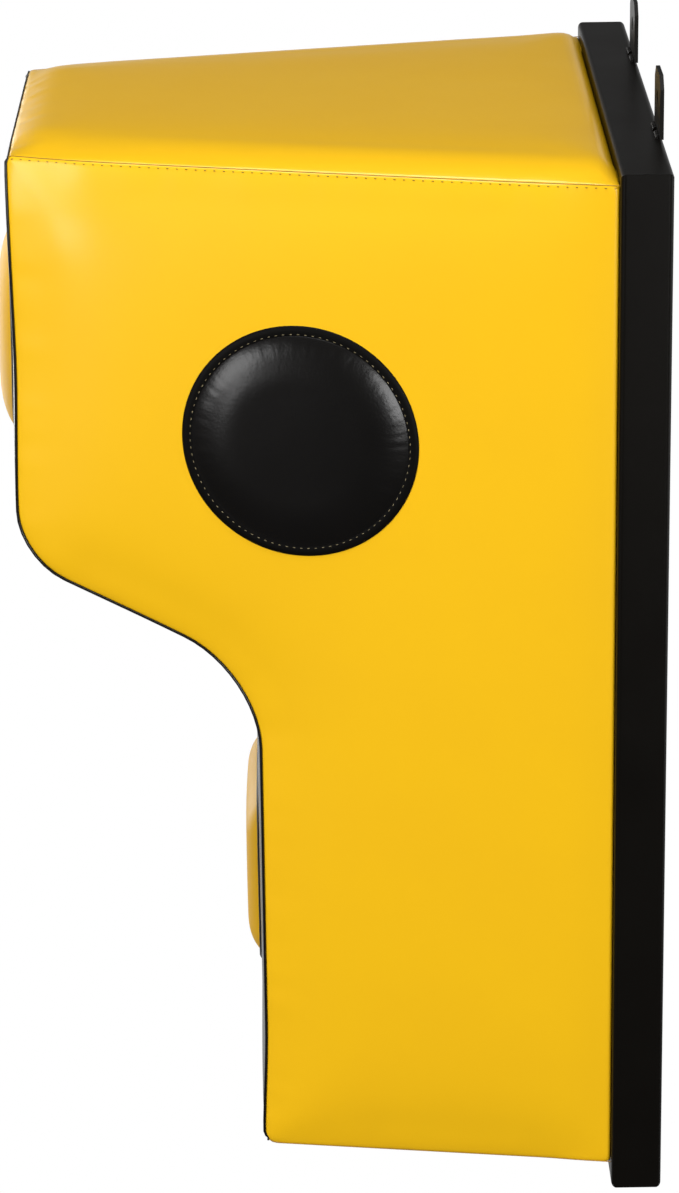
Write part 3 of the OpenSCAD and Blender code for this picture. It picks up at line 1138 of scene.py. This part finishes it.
    def swell(self) -> None:
        """Crowns every panel between its seams by the swelling of the cloth, capped at its crown."""
        bm = self.body
        panel = bm.faces.layers.int["panel"]
        bm.verts.index_update()
        bm.normal_update()
        sewn = [v.index for v in bm.verts if self.is_sewn(v, panel)]
        held = set(sewn)
        places = self.simulate(sewn)
        rise = [(p - v.co).dot(v.normal) for p, v in zip(places, bm.verts)]
        crowns = {
            Panel.SIDE_LEFT: self.side_crown,
            Panel.SIDE_RIGHT: self.side_crown,
            Panel.TOP: self.top_crown,
            Panel.BOTTOM: self.bottom_crown,
            Panel.FRONT: self.head_crown,
            Panel.LINING: 0.0,
        }
        highest: dict[int, float] = {}
        for vert in bm.verts:
            number = vert.link_faces[0][panel]
            highest[number] = max(highest.get(number, 1e-9), rise[vert.index])
        log.info("swelling in mm: %s", {Panel(k).name: round(h / MM, 1) for k, h in highest.items()})
        moves = []
        for vert in bm.verts:
            number = vert.link_faces[0][panel]
            share = 0.0 if vert.index in held else max(0.0, rise[vert.index] / highest[number])
            full = (1 - math.exp(-self.fullness * share)) / (1 - math.exp(-self.fullness))
            crown = crowns[Panel(number)]
            if number == Panel.FRONT:
                head = smoothstep(*self.chest, vert.co.z - self.foot_z)
                crown = self.torso_crown + (self.head_crown - self.torso_crown) * head
            moves.append(vert.normal * crown * full)
        shift(bm, moves)
        self.pucker(panel)

    def pucker(self, panel: BMLayerItem) -> None:
        """Draws small folds from the seams into the panels, as the thread pulls them.

        Args:
            panel: The face layer with the panels' numbers.
        """
        bm, folds = self.body, self.folds
        clear = [v for v in bm.verts if self.face_y - v.co.y > self.back_gap]
        seam = [v for v in clear if len({f[panel] for f in v.link_faces}) > 1]
        tree = point_tree([v.co for v in seam])
        moves = []
        for vert in bm.verts:
            near, _, s = tree.find(vert.co)
            depth = 0.0
            if folds.nearest < s < folds.farthest and self.face_y - vert.co.y > self.board_depth:
                fold = noise.noise(near / folds.wave) + 0.5 * noise.noise(near / (folds.wave / 2))
                height = vert.co.z - self.foot_z
                top = smoothstep(self.top_v - folds.brow_fade, self.top_v + folds.brow_fade, height)
                edge = smoothstep(self.head_d - folds.brow_from, self.head_d, self.face_y - vert.co.y)
                fade = math.exp(-(((s - folds.middle) / folds.spread) ** 2))
                depth = (folds.depth + folds.brow_depth * top * edge) * fold * fade
            moves.append(vert.normal * depth)
        shift(bm, moves)

    # Pieces

    def panel_mesh(self, name: str, number: Panel) -> Mesh:
        """Cuts one panel out of the swollen body.

        Args:
            name: The mesh's name.
            number: The panel.

        Returns:
            The panel's mesh, open at its seams.
        """
        bm = self.body.copy()
        panel = bm.faces.layers.int["panel"]
        bmesh.ops.delete(bm, geom=[f for f in bm.faces if f[panel] != number], context="FACES")
        return to_mesh(name, bm)

    def seam_verts(self, a: Panel, b: Panel) -> list[BMVert]:
        """Finds the seam between two panels, without the hems behind the board.

        Args:
            a: One panel.
            b: The other panel.

        Returns:
            The seam's points, in order.
        """
        panel = self.body.faces.layers.int["panel"]
        shared = [e for e in self.body.edges if {f[panel] for f in e.link_faces} == {a, b}]
        return chain(e for e in shared if max(self.face_y - v.co.y for v in e.verts) > self.back_gap)

    def build(self, finishes: Finishes) -> None:
        """Builds the body, its panels, piping and seam stitches.

        Args:
            finishes: The object's finishes.
        """
        self.shape()
        self.swell()
        panels = [
            ("side_panel_left", Panel.SIDE_LEFT, "side_cover_left"),
            ("side_panel_right", Panel.SIDE_RIGHT, "side_cover_right"),
            ("top_panel", Panel.TOP, "top_cover"),
            ("bottom_panel", Panel.BOTTOM, "bottom_cover"),
            ("front_panel", Panel.FRONT, "front_cover"),
        ]
        for name, number, node in panels:
            black = number == Panel.FRONT
            piece = add_piece(
                name,
                self.panel_mesh(name, number),
                finishes.black if black else finishes.yellow,
                [node],
            )
            give_wall(piece, self.cover_t)
            round_off = piece.modifiers.new("Rounding", "SUBSURF")
            round_off.levels = 1
            round_off.render_levels = 1
        self.build_seams(finishes)

    def build_seams(self, finishes: Finishes) -> None:
        """Lays the piping and the seam stitches.

        Args:
            finishes: The object's finishes.
        """
        sewing = self.sewing
        ends = (("top", Panel.TOP), ("bottom", Panel.BOTTOM))
        for side, number in (("left", Panel.SIDE_LEFT), ("right", Panel.SIDE_RIGHT)):
            verts = self.seam_verts(number, Panel.FRONT)
            line = []
            for i, vert in enumerate(verts):
                from_end = min(i, len(verts) - 1 - i)
                tuck = sewing.piping_tuck * max(0.0, 1 - from_end / sewing.tuck_points) ** 2
                line.append(vert.co + vert.normal * (sewing.piping_proud - tuck))
            name = "front_piping_" + side
            mesh = tube(name, line, sewing.piping_r)
            add_piece(name, mesh, finishes.black, ["piping_" + side])
            for place, other in ends:
                verts = self.seam_verts(number, other)
                line = [v.co - v.normal * sewing.thread_sunk for v in verts]
                name = f"{place}_seam_thread_{side}"
                add_piece(name, tube(name, line, sewing.thread_r), finishes.amber_thread)
                # the top stitches show on the side panel, the bottom ones under the body
                out, drop = sewing.top_stitch_proud, sewing.from_seam
                if place == "bottom":
                    out, drop = -sewing.from_seam, sewing.bottom_stitch_proud
                line = []
                for vert in verts:
                    outward = Vector((vert.normal.x, 0, 0)).normalized()
                    line.append(vert.co + outward * out - Vector((0, 0, drop)))
                name = f"{place}_seam_stitches_{side}"
                mesh = stitches(name, line, sewing.stitch_pitch, sewing.stitch_l, sewing.stitch_r)
                add_piece(name, mesh, finishes.ochre_thread)
        for place, other in ends:
            line = [v.co + v.normal * sewing.edge_piping_proud for v in self.seam_verts(Panel.FRONT, other)]
            name = f"{place}_edge_piping"
            add_piece(name, tube(name, line, sewing.edge_piping_r), finishes.black)


@dataclass
class FoamFilling:
    """The foam inside the cover: two blocks, and three soft sheets behind the front panel."""

    body: PaddedBody
    clearance: float = 3.0 * MM
    sheet_t: float = 25 * MM
    block_split: float = 392 * MM
    chin_foot: float = 340 * MM
    chin_head: float = 470 * MM
    end_gap: float = 16 * MM
    joint: float = 0.3 * MM
    sheet_gap: float = 1 * MM
    board_gap: float = 0.5 * MM
    push_reach: float = 90 * MM
    flat_ends: tuple[float, float] = (40 * MM, 30 * MM)

    def shrunk(self) -> BMesh:
        """Returns a copy of the body that lies just inside its cover."""
        bm = self.body.body.copy()
        bm.normal_update()
        shift(bm, [-v.normal * self.clearance for v in bm.verts])
        return bm

    def cut(self, bm: BMesh, height: float, keep_above: bool, close: bool) -> None:
        """Cuts the foam level at a height above the frame's foot.

        Args:
            bm: The foam's mesh.
            height: Where the cut goes.
            keep_above: Whether the part above the cut stays.
            close: Whether the cut is closed with a face.
        """
        place = Vector((0, 0, self.body.foot_z + height))
        slice_off(bm, place, Vector((0, 0, -1 if keep_above else 1)), close)

    def sheet(self, name: str, low: float, high: float, node: str, material: Material) -> None:
        """Makes one soft sheet behind the front panel.

        Args:
            name: The piece's name.
            low: The height of its lower edge.
            high: The height of its upper edge.
            node: The CAD node that it stands for.
            material: The foam.
        """
        bm = self.shrunk()
        panel = bm.faces.layers.int["panel"]
        bmesh.ops.delete(bm, geom=[f for f in bm.faces if f[panel] != Panel.FRONT], context="FACES")
        self.cut(bm, low, keep_above=True, close=False)
        self.cut(bm, high, keep_above=False, close=False)
        piece = add_piece(name, to_mesh(name, bm), material, [node])
        give_wall(piece, self.sheet_t - self.clearance)

    def block(self, name: str, above: bool, node: str, material: Material) -> None:
        """Makes one foam block between the board and the sheets.

        Args:
            name: The piece's name.
            above: Whether it is the upper block.
            node: The CAD node that it stands for.
            material: The foam.
        """
        bm = self.shrunk()
        panel = bm.faces.layers.int["panel"]
        faces = [f for f in bm.faces if f[panel] == Panel.FRONT]
        front = sorted({v for f in faces for v in f.verts}, key=lambda v: v.index)
        tree = point_tree([(0, v.co.y, v.co.z) for v in front])
        back_off = []
        for vert in front:
            v = vert.co.z - self.body.foot_z
            flat = v > self.body.top_v - self.flat_ends[1] or v < self.flat_ends[0]
            inward = Vector((0, -vert.normal.y, -vert.normal.z)).normalized()
            back_off.append(Vector((0, 1, 0)) if flat else inward)
        for vert in bm.verts:
            _, i, s = tree.find((0, vert.co.y, vert.co.z))
            near = max(0.0, 1 - s / self.push_reach) ** 2
            vert.co += back_off[i] * (self.sheet_t + self.sheet_gap) * near
        split = self.block_split + (self.joint if above else -self.joint)
        self.cut(bm, split, keep_above=above, close=True)
        board_front = Vector((0, self.body.face_y - self.body.board_depth - self.board_gap, 0))
        slice_off(bm, board_front, Vector((0, 1, 0)), close=True)
        bmesh.ops.recalc_face_normals(bm, faces=bm.faces[:])
        add_piece(name, to_mesh(name, bm), material, [node])

    def build(self, finishes: Finishes) -> None:
        """Builds the foam pieces.

        Args:
            finishes: The object's finishes.
        """
        low, high = self.body.foot_front + self.end_gap, self.body.top_v - self.end_gap
        self.sheet("torso_foam_sheet", low, self.chin_foot - self.joint, "torso_face_foam", finishes.foam)
        self.sheet("chin_foam_sheet", self.chin_foot, self.chin_head, "chin_foam", finishes.foam)
        self.sheet("head_foam_sheet", self.chin_head + self.joint, high, "head_face_foam", finishes.foam)
        self.block("torso_foam", False, "torso_foam_block", finishes.foam)
        self.block("head_foam", True, "head_foam_block", finishes.foam)


def slice_off(bm: BMesh, place: Vector, normal: Vector, close: bool) -> None:
    """Cuts away what lies on a plane's far side.

    Args:
        bm: The mesh.
        place: A point of the plane.
        normal: The direction of the side that goes.
        close: Whether the cut is closed with a face.
    """
    geometry = bm.verts[:] + bm.edges[:] + bm.faces[:]
    cut = bmesh.ops.bisect_plane(
        bm, geom=geometry, dist=TOUCHING, plane_co=place, plane_no=normal, clear_outer=True
    )["geom_cut"]
    if close:
        bmesh.ops.edgeloop_fill(bm, edges=[g for g in cut if isinstance(g, BMEdge)])


# --- Strike pads --------------------------------------------------------------------------------


class Place(Enum):
    """Where a strike pad is sewn on."""

    LEFT_SIDE = "left"
    RIGHT_SIDE = "right"
    FRONT = "front"


@dataclass
class StrikePad:
    """A domed pad with a flat stitched rim, sewn on a panel."""

    name: str
    place: Place
    d: float
    v: float
    width: float
    height: float
    corner: float
    rise: float
    shoulder: float
    nodes: tuple[str, ...]
    yellow: bool
    rim_w: float = 7 * MM
    rim_t: float = 1.4 * MM
    rim_round: float = 2.4 * MM
    rim_under_w: float = 2 * MM
    rim_under_t: float = 0.4 * MM
    foam_inset: float = 3 * MM
    foam_sunk: float = 1.6 * MM
    foam_foot: float = 0.6 * MM
    face_foot: float = 0.5 * MM
    rim_thinning: float = 0.8
    crown_share: float = 0.14
    shoulder_power: float = 2.4
    shoulder_bend: float = 0.9
    crease_depth: float = 0.14 * MM
    crease_middle: float = 7 * MM
    crease_start: float = 2 * MM
    crease_waves: float = 9.0
    crease_mix: tuple[tuple[float, float], ...] = ((1.0, 0.4), (2.6, 0.7), (4.7, 1.0))
    lift: float = 0.15 * MM
    drop: float = 60 * MM
    stitch_pitch: float = 5.5 * MM
    stitch_l: float = 2.2 * MM
    stitch_r: float = 0.22 * MM
    stitch_from_face: float = 0.7 * MM
    fill: float = 0.85
    crowding: float = 1.35
    rings: int = 30
    segments: int = 288
    halvings: int = 36

    def depth_inside(self, x: float, y: float) -> float:
        """Measures how far a point of the pad's plan lies inside its outline.

        Args:
            x: The point's place across the pad.
            y: Its place up the pad.

        Returns:
            The distance, below 0 outside the outline.
        """
        qx = abs(x) - (self.width / 2 - self.corner)
        qy = abs(y) - (self.height / 2 - self.corner)
        return self.corner - math.hypot(max(qx, 0.0), max(qy, 0.0)) - min(max(qx, qy), 0.0)

    def edge_point(self, angle: float, inset: float) -> Vector:
        """Finds the point of the plan at an angle and an inset from the outline.

        Args:
            angle: The direction from the pad's middle.
            inset: The distance inside the outline.

        Returns:
            The point, with z 0.
        """
        way = Vector((math.cos(angle), math.sin(angle), 0))
        low, high = 0.0, self.width + self.height
        for _ in range(self.halvings):
            middle = (low + high) / 2
            if self.depth_inside(*(way * middle).xy) > inset:
                low = middle
            else:
                high = middle
        return way * low

    def dome(self, x: float, y: float) -> float:
        """Shapes the padded face, with the creases that its stitches draw.

        Args:
            x: A place across the pad.
            y: A place up the pad.

        Returns:
            The face's height there.
        """
        s = self.depth_inside(x, y) - self.rim_w
        share = min(1.0, max(0.0, s / self.shoulder))
        middle = 1 - (x * x + y * y) / (self.width * self.width + self.height * self.height) * 4
        rounded = (1 - (1 - share) ** self.shoulder_power) ** self.shoulder_bend
        full = (1 - self.crown_share) * rounded + self.crown_share * middle * share
        angle = math.atan2(y, x)
        around = Vector((math.cos(angle), math.sin(angle), 0.7)) * self.crease_waves
        fold = sum(weight * noise.noise(around * finer) for finer, weight in self.crease_mix)
        fade = math.exp(-(((s - self.crease_middle) / self.crease_middle) ** 2))
        fade *= smoothstep(0, self.crease_start, s)
        seam = self.rim_t * 0.5
        return seam + (self.rise - seam) * full + self.crease_depth * fold * fade

    def foam_top(self, x: float, y: float) -> float:
        """Returns the foam's height under the padded face."""
        return self.dome(x, y) - self.foam_sunk

    def rim(self, x: float, y: float) -> float:
        """Shapes the flat rim, which goes thin under the padded face.

        Args:
            x: A place across the pad.
            y: A place up the pad.

        Returns:
            The rim's height there.
        """
        s = self.depth_inside(x, y)
        edge = 1 - (1 - smoothstep(0, self.rim_round, s)) * self.rim_thinning
        under = smoothstep(self.rim_w, self.rim_w + self.rim_under_w, s)
        return self.rim_t * edge * (1 - under) + self.rim_under_t * under

    def slab(self, inset: float, top: Callable[[float, float], float], bottom: float) -> BMesh:
        """Spins a closed slab and gives it the pad's plan and a top surface.

        Args:
            inset: How far its outline lies inside the pad's.
            top: The height of its top at a point of the plan.
            bottom: The height of its flat bottom.

        Returns:
            The slab, on the pad's own axes.
        """
        bm = bmesh.new()
        shares = [1 - (1 - k / self.rings) ** self.crowding for k in range(self.rings + 1)]
        profile = [bm.verts.new((q, 0, 1)) for q in shares]
        profile += [bm.verts.new((q, 0, 0)) for q in (1.0, 0.6, 0.0)]
        edges = [bm.edges.new(pair) for pair in zip(profile, profile[1:])]
        bmesh.ops.spin(
            bm,
            geom=profile + edges,
            cent=(0, 0, 0),
            axis=(0, 0, 1),
            dvec=(0, 0, 0),
            angle=math.tau,
            steps=self.segments,
            use_merge=True,
        )
        bmesh.ops.remove_doubles(bm, verts=bm.verts[:], dist=TOUCHING)
        reach: dict[int, Vector] = {}
        for vert in bm.verts:
            share = math.hypot(vert.co.x, vert.co.y)
            step = round(math.atan2(vert.co.y, vert.co.x) / math.tau * self.segments) % self.segments
            if step not in reach:
                reach[step] = self.edge_point(step * math.tau / self.segments, inset)
            x, y, _ = reach[step] * share
            vert.co = (x, y, top(x, y) if vert.co.z > 0.5 else bottom)
        bmesh.ops.recalc_face_normals(bm, faces=bm.faces[:])
        return bm

    def to_body(self, body: PaddedBody) -> Matrix:
        """Finds the pad's place on the body's flat panel.

        Args:
            body: The padded body.

        Returns:
            The matrix from the pad's own axes to the object's frame.
        """
        if self.place == Place.FRONT:
            out, middle = Vector((0, -1, 0)), body.at(0, self.d, self.v)
        else:
            side = -1 if self.place == Place.LEFT_SIDE else 1
            angle = math.atan((body.back_w - body.front_w) / 2 / body.head_d)
            out = Vector((side * math.cos(angle), -math.sin(angle), 0))
            middle = body.at(side * body.half_w(self.d), self.d, self.v)
        up = Vector((0, 0, 1))
        across = up.cross(out)
        turn = Matrix((across, up, out)).transposed().to_4x4()
        return Matrix.Translation(middle) @ turn

    def lay_on(self, points: Iterable[Vector], body: PaddedBody, tree: BVHTree) -> list[Vector]:
        """Lays points of the pad on the crowned panel under it.

        Args:
            points: Points on the pad's own axes.
            body: The padded body.
            tree: The body's surface.

        Returns:
            The points in the object's frame.
        """
        matrix = self.to_body(body)
        inward = -(matrix.to_3x3() @ Vector((0, 0, 1)))
        laid = []
        for point in points:
            start = matrix @ Vector((point.x, point.y, self.drop))
            hit = tree.ray_cast(start, inward)
            base = self.drop - hit[3] if hit[0] else 0.0
            laid.append(matrix @ Vector((point.x, point.y, point.z + base + self.lift)))
        return laid

    def build(self, body: PaddedBody, tree: BVHTree, finishes: Finishes) -> None:
        """Builds the pad's rim, foam, face and stitches.

        Args:
            body: The padded body.
            tree: The body's surface.
            finishes: The object's finishes.
        """
        face = finishes.yellow_satin if self.yellow else finishes.black
        face_slot = "yellow_leather" if self.yellow else "black_leather"
        foam_inset = self.rim_w + self.foam_inset
        layers = [
            ("_rim", 0.0, self.rim, 0.0, finishes.black_edge, "black_leather"),
            ("_foam", foam_inset, self.foam_top, self.foam_foot, finishes.foam, "foam"),
            ("_face", self.rim_w, self.dome, self.face_foot, face, face_slot),
        ]
        for (ending, inset, top, bottom, material, slot), node in zip(layers, self.nodes):
            bm = self.slab(inset, top, bottom)
            for vert, place in zip(bm.verts, self.lay_on([v.co for v in bm.verts], body, tree)):
                vert.co = place
            name = self.name + ending
            add_piece(name, to_mesh(name, bm), material, [node])
        from_edge = self.rim_w - self.stitch_from_face
        ring = [self.edge_point(math.radians(angle), from_edge) for angle in range(360)]
        line = self.lay_on([Vector((p.x, p.y, self.rim_t - self.lift)) for p in ring], body, tree)
        name = self.name + "_stitches"
        mesh = stitches(name, line, self.stitch_pitch, self.stitch_l, self.stitch_r, closed=True)
        add_piece(name, mesh, finishes.cream_thread)


# --- Studio -------------------------------------------------------------------------------------


@dataclass
class Studio:
    """The floor, backdrop, lights and camera."""

    floor_drop: float = 0.5
    reach: float = 30.0
    wall_light: float = 0.52
    room_light: float = 0.06
    aim: tuple[float, float, float] = (0.0, -0.2, -0.4)
    lens: float = 132.37
    eye: tuple[float, float, float] = (3.2658, -0.2600, 0.7473)

    def build(self) -> None:
        """Builds the studio."""
        self.build_surroundings()
        self.build_world()
        self.build_lights()
        self.build_camera()
        bpy.context.scene.view_settings.view_transform = "Standard"
        bpy.context.scene.view_settings.look = "None"

    def build_surroundings(self) -> None:
        """Makes the pale floor and the backdrop behind it."""
        paint = bpy.data.materials.new("studio_paint_matt_white")
        paint.use_nodes = True
        paint.node_tree.nodes.clear()
        glow = add_node(paint.node_tree, "Emission", {"Color": linear("#ffffff"), "Strength": 1.0})
        add_node(paint.node_tree, "OutputMaterial", {"Surface": glow.outputs["Emission"]})
        low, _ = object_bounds()
        height = low[2] - self.floor_drop
        bm = bmesh.new()
        bmesh.ops.create_grid(
            bm, x_segments=2, y_segments=2, size=self.reach, matrix=Matrix.Translation((0, 0, height))
        )
        floor = bpy.data.objects.new("floor", to_mesh("floor", bm))
        bm = bmesh.new()
        bmesh.ops.create_uvsphere(bm, u_segments=48, v_segments=24, radius=self.reach * 0.95)
        bmesh.ops.reverse_faces(bm, faces=bm.faces[:])
        backdrop = bpy.data.objects.new("backdrop", to_mesh("backdrop", bm))
        for piece in (floor, backdrop):
            piece.data.materials.append(paint)
            bpy.context.scene.collection.objects.link(piece)
            piece.visible_diffuse = False
            piece.visible_glossy = False
            piece.visible_transmission = False
            piece.visible_shadow = False
            piece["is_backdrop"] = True

    def build_world(self) -> None:
        """Gives the room its dim, uneven light: pale behind the object, dark before it."""
        world = bpy.data.worlds.new("studio_room")
        bpy.context.scene.world = world
        world.use_nodes = True
        tree = world.node_tree
        tree.nodes.clear()
        way = add_node(tree, "TexCoord").outputs["Generated"]
        axes = add_node(tree, "SeparateXYZ", {"Vector": way})
        # the pale wall lies beyond the object, on its far side, and fades out above the horizon
        side = add_node(
            tree,
            "MapRange",
            {
                "Value": axes.outputs["X"],
                "From Min": 0.2,
                "From Max": -0.6,
                "To Min": 0.0,
                "To Max": self.wall_light,
            },
            interpolation_type="SMOOTHSTEP",
        )
        height = add_node(
            tree,
            "MapRange",
            {"Value": axes.outputs["Z"], "From Min": 0.03, "From Max": 0.22, "To Min": 1.0, "To Max": 0.06},
            interpolation_type="SMOOTHSTEP",
        )
        wall = add_node(
            tree, "Math", {0: side.outputs["Result"], 1: height.outputs["Result"]}, operation="MULTIPLY"
        )
        both = add_node(tree, "Math", {0: wall.outputs["Value"], 1: self.room_light}, operation="ADD")
        light = add_node(tree, "Background", {"Color": linear("#ffffff"), "Strength": both.outputs["Value"]})
        add_node(tree, "OutputWorld", {"Surface": light.outputs["Background"]})

    def build_lights(self) -> None:
        """Hangs the soft boxes."""
        # name, place, size, power, and whether glossy surfaces mirror the box
        boxes = [
            ("soft_box_front_fill", (2.5, -2.83, 0.22), 1.2, 22.0, False),
            ("soft_box_front", (2.3, -2.6, 0.2), 1.2, 30.0, True),
            ("soft_box_corner", (2.6, -2.11, -0.6), 0.3, 3.2, True),
            ("soft_box_side", (3.0, 0.9, 0.1), 1.3, 44.0, True),
            ("soft_box_top", (1.2, -0.6, 3.0), 1.6, 86.0, True),
            ("soft_box_far", (-2.6, -2.2, -0.5), 2.2, 40.0, True),
            ("soft_box_rear", (0.4, 3.0, -0.6), 2.2, 40.0, True),
        ]
        for name, place, size, power, mirrored in boxes:
            light = bpy.data.lights.new(name, "AREA")
            light.size = size
            light.energy = power
            lamp = bpy.data.objects.new(name, light)
            lamp.location = place
            lamp.rotation_mode = "QUATERNION"
            lamp.rotation_quaternion = (Vector(self.aim) - Vector(place)).to_track_quat("-Z", "Y")
            lamp.visible_camera = False
            lamp.visible_glossy = mirrored
            bpy.context.scene.collection.objects.link(lamp)

    def build_camera(self) -> None:
        """Places the camera, level across and looking down a little at the right-hand side."""
        data = bpy.data.cameras.new("camera")
        data.lens = self.lens
        data.sensor_width = 36.0
        data.sensor_fit = "AUTO"
        data.clip_start = 0.05
        data.clip_end = 200.0
        camera = bpy.data.objects.new("camera", data)
        right = Vector((0.01067284, 0.9998688, -0.01218526))
        up = Vector((-0.33893179, 0.0150819, 0.94069005))
        back = Vector((0.94075041, -0.00590987, 0.33904829))
        turn = Matrix((right, up, back)).transposed().to_4x4()
        camera.matrix_world = Matrix.Translation(self.eye) @ turn
        bpy.context.scene.collection.objects.link(camera)
        bpy.context.scene.camera = camera


def strike_pads() -> list[StrikePad]:
    """Lists the four strike pads: one on each side, one on the head and one on the torso.

    Returns:
        The pads, with their sizes.
    """
    layers = ("base", "foam", "cover")
    pads = [
        StrikePad(
            name="side_pad_" + side.value,
            place=side,
            d=229 * MM,
            v=589 * MM,
            width=178 * MM,
            height=177 * MM,
            corner=88.5 * MM,
            rise=8 * MM,
            shoulder=34 * MM,
            nodes=tuple(f"side_target_{layer}_{side.value}" for layer in layers),
            yellow=False,
        )
        for side in (Place.LEFT_SIDE, Place.RIGHT_SIDE)
    ]
    # d, v, width, height, corner, rise and shoulder, in millimetres
    fronts = {
        "head": (441, 625, 176, 176, 88, 12.5, 38),
        "torso": (264, 188, 200, 138, 30, 10.5, 27),
    }
    for label, sizes in fronts.items():
        nodes = tuple(f"{label}_target_{layer}" for layer in layers)
        pads.append(StrikePad(label + "_pad", Place.FRONT, *(size * MM for size in sizes), nodes, True))
    return pads


def main() -> None:
    """Builds the studio and then the object, sub-assembly by sub-assembly."""
    logging.basicConfig(level=logging.INFO, format="%(name)s: %(message)s")
    Studio().build()
    finishes = Finishes()
    SteelFrame().build(finishes)
    BackBoard().build(finishes)
    body = PaddedBody()
    body.build(finishes)
    FoamFilling(body).build(finishes)
    tree = BVHTree.FromBMesh(body.body)
    for pad in strike_pads():
        pad.build(body, tree, finishes)


if __name__ == "__main__":
    main()
